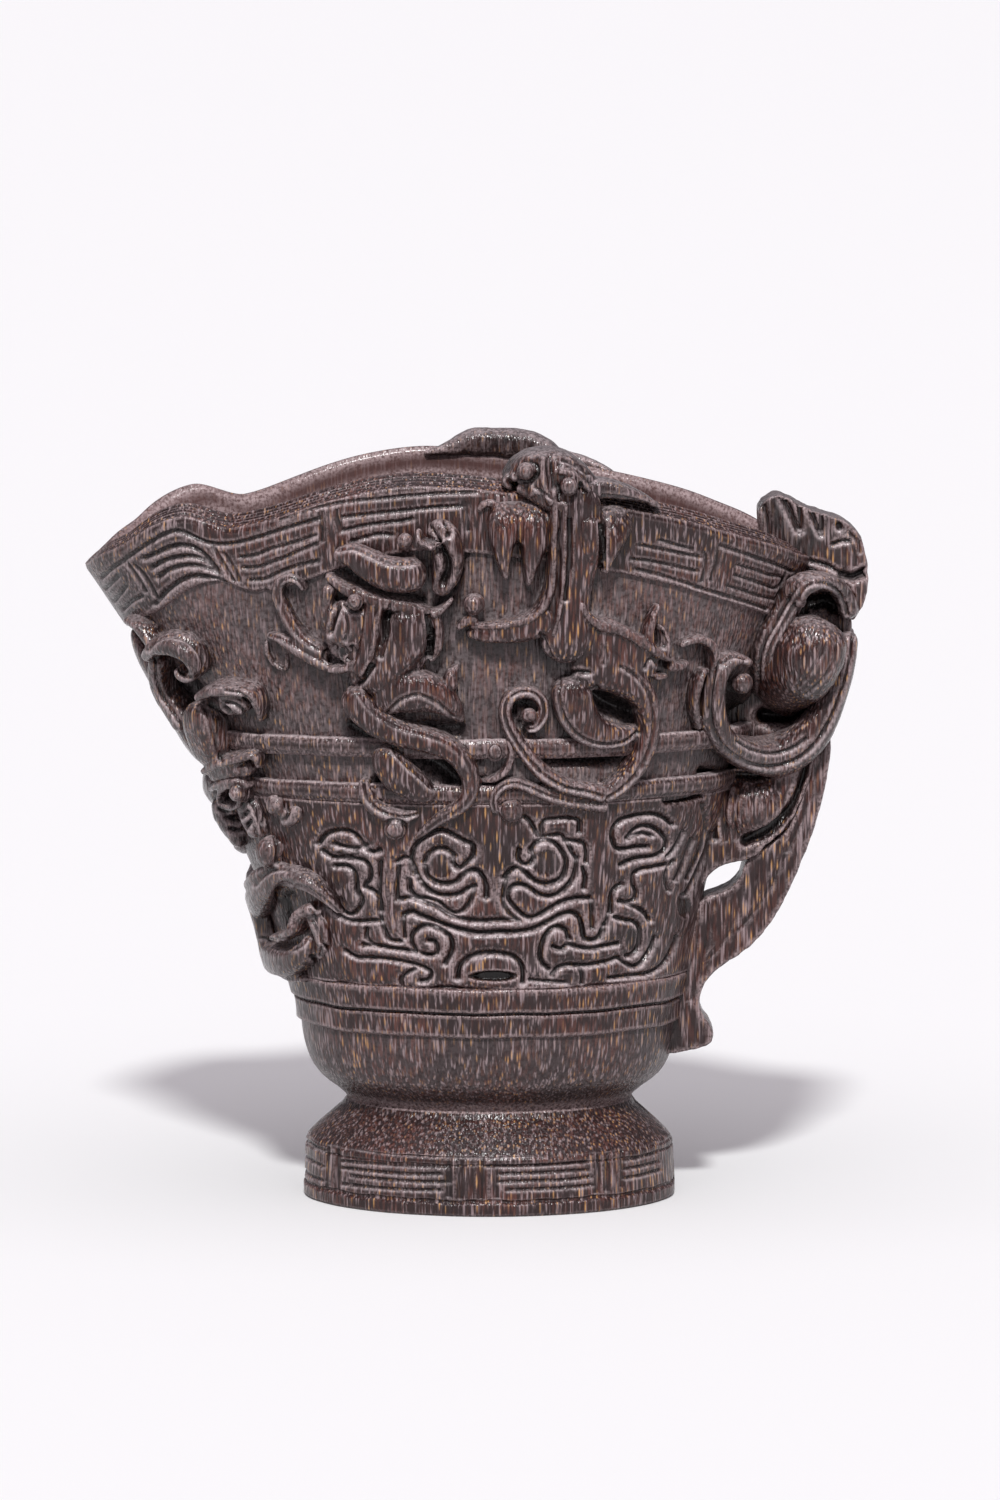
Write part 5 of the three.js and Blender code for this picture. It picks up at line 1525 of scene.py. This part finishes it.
handleDragon = {
    "loop": [
        # loop from the wall round to the handle
        carved([(748, 662), (734, 658), (722, 667), (715, 688), (714, 712, 0.1), (720, 734, 0.5),
            (735, 748, 1.2), (757, 756, 2.4), (780, 754, 4.0), (800, 743, 5.8), (815, 726, 7.2),
            (828, 704, 8.2), (838, 680, 8.8), (845, 655, 8.8), (849, 630, 8.6)],
            (9, 13, 15, 17, 19, 25, 33, 40, 43, 40, 34, 28, 25, 22, 18),
            (3.2, 3.5, 3.8, 4.1, 4.4, 4.8, 5.0, 5.2, 5.4, 5.4, 5.2, 4.8, 4.4, 4.0, 3.6),
            lines=[(0.55, 3.2, 0.5)], free=(0, 0, 0, 0, 0, 0.1, 0.3, 0.6, 0.85, 1, 1, 1, 1, 1, 1),
            before=4.0),
        # curls beside it
        carved([(677, 646), (688, 641), (701, 639), (711, 646), (714, 660), (711, 680), (706, 703),
            (704, 724), (709, 742)], (5, 8, 10, 10, 9, 9, 9, 8, 5),
            (1.8, 2.2, 2.7, 2.9, 2.8, 2.6, 2.4, 2.0, 1.6)),
        carved([(705, 667), (698, 680), (694, 696), (694, 712), (699, 730)], (6, 9, 9, 9, 5),
            (1.8, 2.4, 2.4, 2.2, 1.6)),
        # strap inside the loop, and the arch above it
        carved([(800, 588, 1.4), (792, 603, 1.0), (780, 625, 0.6), (768, 648, 0.3), (764, 672), (767, 695),
            (775, 709)], (22, 24, 26, 26, 24, 22, 12), (3.0, 3.2, 3.3, 3.3, 3.1, 2.8, 2.2),
            lines=[(0.45, 3.0, 0.4), (-0.2, 2.8, 0.3)]),
        carved([(796, 603, 2.0), (800, 590, 3.0), (814, 581, 5.0), (830, 583, 6.8), (844, 597, 8.2),
            (850, 618, 8.6)], (13, 15, 17, 19, 21, 20), (3.0, 3.4, 3.8, 4.0, 4.0, 3.8),
            lines=[(0.2, 2.8, 0.35)], free=(0, 0.2, 0.6, 0.9, 1, 1), before=4.4),
    ],
    "loopBeads": [(742, 683, 11, 11, 1.7, 2.4)],
    "loopCuts": [([(738, 741), (752, 749), (772, 753), (794, 747), (806, 738)], 3.6, 0.6)],
    "thigh": [
        carved([(834, 626, 5.4), (826, 644, 5.2), (814, 664, 4.4), (798, 684, 3.0), (786, 699, 1.8),
            (781, 707, 1.2)], (44, 58, 60, 54, 42, 26), (6.4, 7.8, 8.4, 8.0, 6.6, 5.0), full=0.95),
    ],
    "thighCuts": [
        ([(836, 640), (834, 660), (822, 680), (806, 694)], 2.8, 0.3),
        ([(826, 630), (822, 652), (810, 672), (796, 688)], 2.6, 0.2),
    ],
}

rimHead = {
    "head": [
        # crown along the rim, brow and cheek
        carved([(506, 481, -2.0), (516, 474, -2.2), (530, 468, -2.2), (546, 467, -2.0), (562, 469, -2.0),
            (578, 475, -2.0), (594, 481, -2.2)], (6, 24, 32, 36, 34, 26, 8),
            (3.6, 5.0, 5.6, 5.8, 5.6, 4.8, 3.4), sink=4.0),
        carved([(536, 472, -1.0), (550, 484, -0.4), (560, 500, 0.2)], (58, 58, 50), (5.0, 5.0, 4.2),
            sink=3.0),
        carved([(556, 472, -0.8), (570, 481, -0.4), (584, 493, -0.2)], (34, 38, 32), (4.8, 4.8, 3.8),
            sink=3.0),
        # crest to the right, and the ear
        carved([(580, 490, -0.8), (602, 489, -0.5), (626, 493, -0.3), (646, 500, -0.2), (662, 508, -0.2)],
            (20, 21, 17, 11, 3), (3.4, 3.2, 2.8, 2.3, 1.4), sink=2.2),
        carved([(508, 476, -1.6), (507, 484, -1.2), (514, 491, -0.6)], (9, 9, 4), (3.0, 3.0, 2.0),
            sink=2.0),
        # ridges over the brow, and the jaw
        carved([(541, 457, 0.0), (541, 472, 0.4), (544, 488, 0.5), (551, 504, 0.4)], (8, 9, 9, 8),
            (4.6, 4.8, 4.7, 4.4), sink=2.0),
        carved([(556, 469, 0.2), (569, 472, 0.3), (581, 481, 0.3), (589, 492, 0.2)], (8, 9, 9, 6),
            (4.6, 4.6, 4.2, 3.2), sink=2.0),
        carved([(518, 487, -1.0), (534, 494, -0.4), (550, 502, 0.2), (570, 508, 0.3), (590, 508, 0.1)],
            (10, 15, 18, 17, 8), (3.0, 3.4, 3.8, 3.6, 2.8), sink=2.4),
    ],
    "headBeads": [(569, 486, 9, 10, 1.5, 4.2), (526, 471, 9, 9, 1.8, 3.0)],
    "headCuts": [
        (ringRoute(526, 471, 12, 11), 3.2, 0.5),
        ([(550, 456), (552, 472), (554, 488)], 3.4, 0.5),
        ([(556, 474), (557, 486), (562, 497)], 3.4, 0.5),
        ([(581, 484), (580, 493), (584, 500)], 3.4, 0.5),
        ([(532, 484), (544, 494), (560, 500)], 3.0, 0.5),
        ([(562, 460), (576, 465), (588, 474)], 3.0, 0.4),
        ([(604, 497), (624, 499), (646, 505)], 4.0, 0.8),
    ],
    "farHead": [  # a low mound, as seen over the far rim
        carved([(456, 483, -2.2), (474, 480, -2.4), (489, 477, -2.4), (504, 473, -2.4), (526, 472, -2.4),
            (548, 473, -2.4), (572, 474, -2.4), (590, 480, -2.4), (603, 488, -2.4)],
            (4, 11, 22, 32, 31, 34, 30, 22, 6), (3.4, 4.4, 5.2, 5.8, 5.8, 5.8, 5.2, 4.6, 3.4), sink=3.0),
        carved([(530, 474, -1.0), (548, 486, -0.4), (560, 500, 0.2)], (40, 46, 44), (3.6, 3.8, 3.4),
            sink=2.6),
        carved([(585, 484, -0.8), (606, 486, -0.5), (630, 491, -0.3), (648, 499, -0.2), (662, 508, -0.2)],
            (22, 15, 11, 7, 3), (2.0, 1.6, 1.3, 1.1, 0.9), sink=2.2),
        carved([(518, 487, -1.0), (534, 494, -0.4), (550, 502, 0.2), (570, 508, 0.3), (590, 508, 0.1)],
            (10, 15, 18, 17, 8), (3.0, 3.4, 3.8, 3.6, 2.8), sink=2.4),
    ],
    "farHeadBeads": [(569, 486, 9, 10, 1.5, 3.9), (524, 474, 9, 9, 1.8, 3.0)],
}


carving = {"voxel": 0.226, "backVoxel": 0.34, "soften": 2, "dustAndHighlight": 0.4}  # the back is carved less finely; dust with painted highlight on upward faces


def carve(name, place, forms, part, node, slot, side, turn, soften=carving["soften"]):
    shells = []
    strokes = list(forms.get(part + "Cuts", ()))
    for form in forms[part]:
        shells.append(strand(side=side, turn=turn, **form))
        strokes += sideLines(form)
    for lump in forms.get(part + "Beads", ()):
        shells.append(bead(*lump, side, turn))
    voxel = carving["voxel"] if side > 0 else carving["backVoxel"]
    piece = fuse(place + name, shells, voxel, soften)
    chisel(piece, strokes, side, turn)
    finishPiece(piece, [f"{place}_{node}"], slot, upDustAndHighlight=carving["dustAndHighlight"])


def makeDragons(place, side, turn):
    head = "head" if side > 0 else "farHead"
    carve("RimDragonHead", place, rimHead, head, "rim_dragon_head", "worn_bamboo", side, turn)
    carve("RimDragonBody", place, rimDragon, "body", "rim_dragon_body", "bamboo", side, turn)
    carve("RimDragonTail", place, rimDragon, "tail", "rim_dragon_tail", "bamboo", side, turn)
    carve("WallDragonHead", place, wallDragon, "head", "wall_dragon_head", "worn_bamboo", side, turn)
    carve("WallDragonBody", place, wallDragon, "body", "wall_dragon_body", "bamboo", side, turn)
    carve("WallDragonTail", place, wallDragon, "tail", "wall_dragon_tail", "bamboo", side, turn)
    for part in ("crest", "shoulder", "coil"):
        carve("Spout" + part.title(), place, spoutDragon, part, f"spout_{part}", "worn_bamboo", side, 0)
    carve("HandleLoop", place, handleDragon, "loop", "handle_loop", "worn_bamboo", side, 0)
    carve("HandleThigh", place, handleDragon, "thigh", "handle_thigh", "worn_bamboo", side, 0, soften=40)
    print(place, "dragons carved")


# Handle and the head above it: slabs with outlines as seen, rounded off

handleForm = {
    "strap": [
        (825, 712), (829, 725), (830, 742), (828, 762), (824, 785), (818, 808), (811, 832), (803, 852),
        (794, 874), (785, 893), (774, 913), (763, 928), (752, 940), (738, 951), (722, 961), (710, 971),
        (703, 981), (699, 992), (699, 1002), (703, 1012), (709, 1020), (713, 1028), (712, 1037),
        (704, 1043), (684, 1047), (664, 1051), (662, 1030), (668, 1005), (672, 985), (682, 955), (690, 925),
        (697, 900), (706, 893), (720, 889), (733, 882), (740, 873), (743, 862), (750, 850), (770, 840),
        (786, 826), (796, 806), (803, 784), (811, 756), (818, 730),
    ],
    "strapCuts": [
        ([(708, 905), (706, 935), (700, 965), (690, 1000)], 3.4, 0.25),
        ([(742, 890), (735, 915), (722, 942), (705, 962)], 3.0, 0.2),
        ([(790, 842), (776, 874), (758, 905), (738, 930)], 3.0, 0.2),
        ([(812, 775), (802, 815), (788, 850)], 3.4, 0.3),
    ],
    "strapThickness": 9.0,
    "torso": [
        (690, 770), (720, 768), (760, 766), (785, 764), (803, 752), (815, 735), (828, 708), (838, 684),
        (846, 655), (851, 625), (850, 600), (838, 584), (818, 580), (798, 590), (770, 600), (745, 625),
        (715, 650), (690, 680),
    ],
    "torsoThickness": 6.0,
    "belly": [
        (690, 765), (720, 764), (760, 764), (790, 758), (806, 748), (815, 745), (810, 770), (803, 790),
        (793, 812), (781, 828), (766, 840), (754, 852), (741, 857), (727, 859), (715, 864), (707, 872),
        (700, 882), (686, 874),
    ],
    "bellyBulge": (752, 803, 8.0, 7.6, 6.6),  # place, half sizes
    "bellyThickness": 11.0,
    "bellyCuts": [
        ([(816, 738), (806, 768), (797, 796), (785, 818), (768, 832), (745, 841)], 8.0, 1.6),
        ([(715, 838), (713, 815), (718, 790)], 5.0, 0.7),
        ([(726, 840), (724, 815), (728, 790)], 3.4, 0.3),
        ([(737, 838), (734, 815), (738, 792)], 3.4, 0.3),
        ([(700, 770), (730, 774), (765, 774), (795, 764)], 7.0, 1.2),
        ([(806, 606), (797, 622), (786, 640), (779, 655)], 13.0, 2.4),
        ([(812, 604), (824, 602), (834, 606)], 16.0, 2.2),
        ([(764, 716), (785, 717), (805, 710), (822, 695)], 13.0, 3.0),
    ],
    "head": [
        (758, 519), (757, 508), (762, 500), (770, 494), (778, 492), (788, 496), (800, 503), (812, 508),
        (828, 513), (842, 518), (853, 526), (860, 535), (863, 546), (866, 560), (867, 575), (866, 590),
        (861, 604), (852, 618), (843, 612), (845, 599), (842, 588), (836, 578), (824, 572), (810, 566),
        (798, 560), (784, 552), (770, 544), (760, 535),
    ],
    "headThickness": 9.6,
    "headCuts": [
        ([(783, 498), (790, 512), (799, 530)], 6.0, 0.9),
        ([(799, 503), (801, 528)], 4.0, 0.6),
        ([(810, 508), (815, 522), (821, 534)], 4.6, 0.7),
        ([(821, 513), (821, 530)], 3.6, 0.5),
        ([(839, 525), (840, 528)], 5.0, 1.0),
        ([(833, 544), (842, 541), (850, 541)], 3.6, 0.8),
        ([(842, 575), (852, 577), (864, 572)], 7.5, 2.2),
        ([(811, 561), (826, 565), (842, 574)], 3.6, 0.8),
        ([(848, 533), (857, 541), (860, 552)], 3.0, 0.4),
        ([(764, 506), (768, 520), (770, 534)], 3.4, 0.4),
        ([(846, 584), (850, 592), (854, 598)], 3.0, 0.5),
        ([(852, 545), (856, 556), (856, 566)], 3.0, 0.35),
    ],
}


def slabPiece(name, slabs, voxel=0.34, soften=11, bulges=()):  # slabs on the middle plane, rounded
    parts = []
    for seen, thickness in slabs:
        flat = onPlane(seen)
        half = np.array([0, thickness / 2, 0])
        count = len(flat)
        faces = [tuple(range(count)), tuple(range(2 * count - 1, count - 1, -1))]
        faces += [(i, i + count, (i + 1) % count + count, (i + 1) % count) for i in range(count)]
        part = meshPiece(name, np.concatenate([flat - half, flat + half]), faces)
        useModifier(part, "TRIANGULATE")
        parts.append(part)
    for x, y, *halves in bulges:
        parts.append(meshPiece(name, *ball(onPlane([(x, y)])[0], halves, np.eye(3))))
    select(parts[0])
    for part in parts[1:]:
        part.select_set(True)
    if len(parts) > 1:
        bpy.ops.object.join()
    return roundOff(parts[0], voxel, soften)


def makeHandle():
    strap = slabPiece("handleStrap", [(handleForm["strap"], handleForm["strapThickness"])])
    slabs = [(handleForm[part], handleForm[part + "Thickness"]) for part in ("torso", "belly")]
    torso = slabPiece("handleDragonTorso", slabs, bulges=[handleForm["bellyBulge"]])
    slabs = [(handleForm["head"], handleForm["headThickness"])]
    head = slabPiece("handleDragonHead", slabs, voxel=0.24, soften=10)
    for side in (1, -1):
        chisel(strap, handleForm["strapCuts"], side)
        chisel(torso, handleForm["bellyCuts"], side)
        chisel(head, handleForm["headCuts"], side)
    finishPiece(strap, ["handle_strap"], "bamboo", upDustAndHighlight=0.3)
    finishPiece(torso, ["handle_dragon_torso"], "bamboo")
    finishPiece(head, ["handle_dragon_head"], "worn_bamboo", upDustAndHighlight=0.3)


# The back and face of the dragon under the lip

spoutMiddle = {
    "spine": {
        "heights": (72.5, 68, 60, 52),
        "width": (6.0, 9.0, 12.0, 13.0),
        "relief": (1.4, 2.2, 2.6, 2.6),
    },
    "face": [  # height, half sizes, lift
        (48.4, (8.6, 3.2, 3.8), 0.0),
        (43.4, (5.6, 3.2, 3.6), 0.3),
        (40.0, (4.2, 2.6, 2.2), 0.2),
    ],
    "cheek": [
        carved([(216, 786), (228, 780), (242, 778), (255, 786)], (8, 10, 10, 6), (4.0, 4.4, 4.2, 3.2)),
        carved([(246, 800), (254, 818), (262, 838)], (24, 26, 20), (3.4, 3.8, 3.2), lines=double),
        carved([(222, 796), (226, 812), (236, 830), (246, 846)], (20, 24, 24, 12), (3.8, 4.2, 3.8, 3.0)),
        carved(ringRoute(238, 793, 11, 11), (6,), (4.4,), ends=(0, 0)),
        carved([(268, 798), (278, 806), (286, 813)], (16, 22, 10), (2.8, 3.2, 2.4)),
        carved([(283, 822), (293, 815), (303, 808)], (16, 21, 8), (2.4, 2.8, 2.0)),
    ],
    "eye": (238, 793, 8, 8, 1.6, 4.0),
    "cheekCuts": [
        ([(227, 817), (238, 818), (247, 811)], 5.0, 1.2),
        ([(231, 829), (241, 830), (250, 822)], 5.0, 1.2),
        ([(219, 809), (224, 812), (227, 812)], 4.0, 0.8),
        ([(266, 790), (266, 806), (264, 822)], 3.4, 0.5),
        ([(286, 803), (288, 812), (284, 820)], 3.4, 0.7),
    ],
}


lipAngle = 180


# a ridge down the cup's narrow end
def endTube(heights, width, relief, sink=0.8, sides=20, count=26, endRings=6):
    height = along(heights, count)
    half, top = along(width, count) / 2, along(relief, count)
    near = np.minimum(np.arange(count), count - 1 - np.arange(count)) / endRings
    shrink = np.sqrt(np.clip(1 - (1 - np.clip(near, 0, 1)) ** 2, 0.01, 1))
    normal = wallNormal(lipAngle, height)
    spine = wallPoint(lipAngle, height)
    turnRound = np.linspace(0, 2 * np.pi, sides, endpoint=False)
    out = ((top - sink) / 2)[:, None] + ((top + sink) / 2 * shrink)[:, None] * np.sin(turnRound)
    rings = spine[:, None] + normal[:, None] * out[:, :, None]
    rings[:, :, 1] += (half * shrink)[:, None] * np.cos(turnRound)
    return np.concatenate([rings.reshape(-1, 3), spine[:1], spine[-1:]]), tubeFaces(count, sides)


def makeSpout():
    spine = fuse("spoutDragonSpine", [endTube(**spoutMiddle["spine"])])
    finishPiece(spine, ["spout_dragon_spine"], "worn_bamboo")
    shells = []
    for height, halves, lift in spoutMiddle["face"]:
        normal = wallNormal(lipAngle, height)
        basis = [(0, 1, 0), normal, np.cross((0, 1, 0), normal)]
        shells.append(ball(wallPoint(lipAngle, height) + normal * lift, halves, basis))
    strokes = list(spoutMiddle["cheekCuts"])
    for form in spoutMiddle["cheek"]:
        strokes += sideLines(form)
        shells += [strand(side=side, **form) for side in (1, -1)]
    shells += [bead(*spoutMiddle["eye"], side) for side in (1, -1)]
    face = fuse("spoutDragonFace", shells, voxel=0.28)
    for side in (1, -1):
        chisel(face, strokes, side)
    finishPiece(face, ["spout_dragon_face"], "worn_bamboo", upDustAndHighlight=0.5)


# Making, the carvings first because the wall takes painted shade, dust and painted highlight beside them

makeDragons("front", 1, 0.0)
makeDragons("back", -1, cup["backTurn"])
makeHandle()
makeSpout()
print("handle and spout carved")
makeBowl()
makeRim()
for band in roundBands:
    makeRoundBand(band)
makeMask("maskBandFront", 1)
makeMask("maskBandBack", -1)
makeFoot()
print("bowl, bands and foot carved")


# Floor, light and world. The key lamp stands in front above the camera, a broad soft lamp hangs overhead.

studio = {
    "floorSize": 60,
    "floorRoughness": 0.9,
    "floorSpecular": 0.1,
    "floor": (0.925, 0.935, 0.93),
    "floorBounce": (0.30, 0.295, 0.30),  # what the floor throws back on the cup
    "world": 0.23,
    "ambientColour": (1.0, 0.93, 1.0),
    "lamps": {  # strength, height angle and spread in degrees, colour
        "key": (2.3, 44, 6.0, (1.0, 1.0, 1.0)),
        "top": (1.1, 72, 80.0, (1.0, 0.93, 1.0)),
    },
}


def makeStudio():
    bpy.ops.object.select_all(action="DESELECT")
    bpy.ops.mesh.primitive_plane_add(size=studio["floorSize"], location=(0, 0, 0))
    floor = bpy.context.object
    floor.name = "studioFloor"
    material = bpy.data.materials.new("palePaper")
    material.use_nodes = True
    tree = material.node_tree
    shader = tree.nodes["Principled BSDF"]
    path = addNode(tree, "ShaderNodeLightPath").outputs
    seen = sums(tree, "MAXIMUM", path["Is Camera Ray"], path["Is Glossy Ray"])
    seen = sums(tree, "MAXIMUM", seen, path["Is Transmission Ray"])
    paper = blendColour(tree, seen, studio["floorBounce"], studio["floor"])
    tree.links.new(paper, shader.inputs["Base Color"])
    shader.inputs["Roughness"].default_value = studio["floorRoughness"]
    shader.inputs["Specular IOR Level"].default_value = studio["floorSpecular"]
    floor.data.materials.append(material)
    for name, (strength, up, spread, colour) in studio["lamps"].items():
        bpy.ops.object.light_add(type="SUN", location=(0, -1, 1))
        lamp = bpy.context.object
        lamp.name = name + "Lamp"
        lamp.data.energy = strength
        lamp.data.color = colour
        lamp.data.angle = math.radians(spread)
        lamp.rotation_euler = (math.radians(90 - up), 0, 0)
    world = bpy.data.worlds.new("studioWorld")
    world.use_nodes = True
    back = world.node_tree.nodes["Background"]
    back.inputs["Color"].default_value = (*studio["ambientColour"], 1)
    back.inputs["Strength"].default_value = studio["world"]
    bpy.context.scene.world = world
    bpy.context.scene.view_settings.view_transform = "Standard"


makeStudio()
print("studio lit")
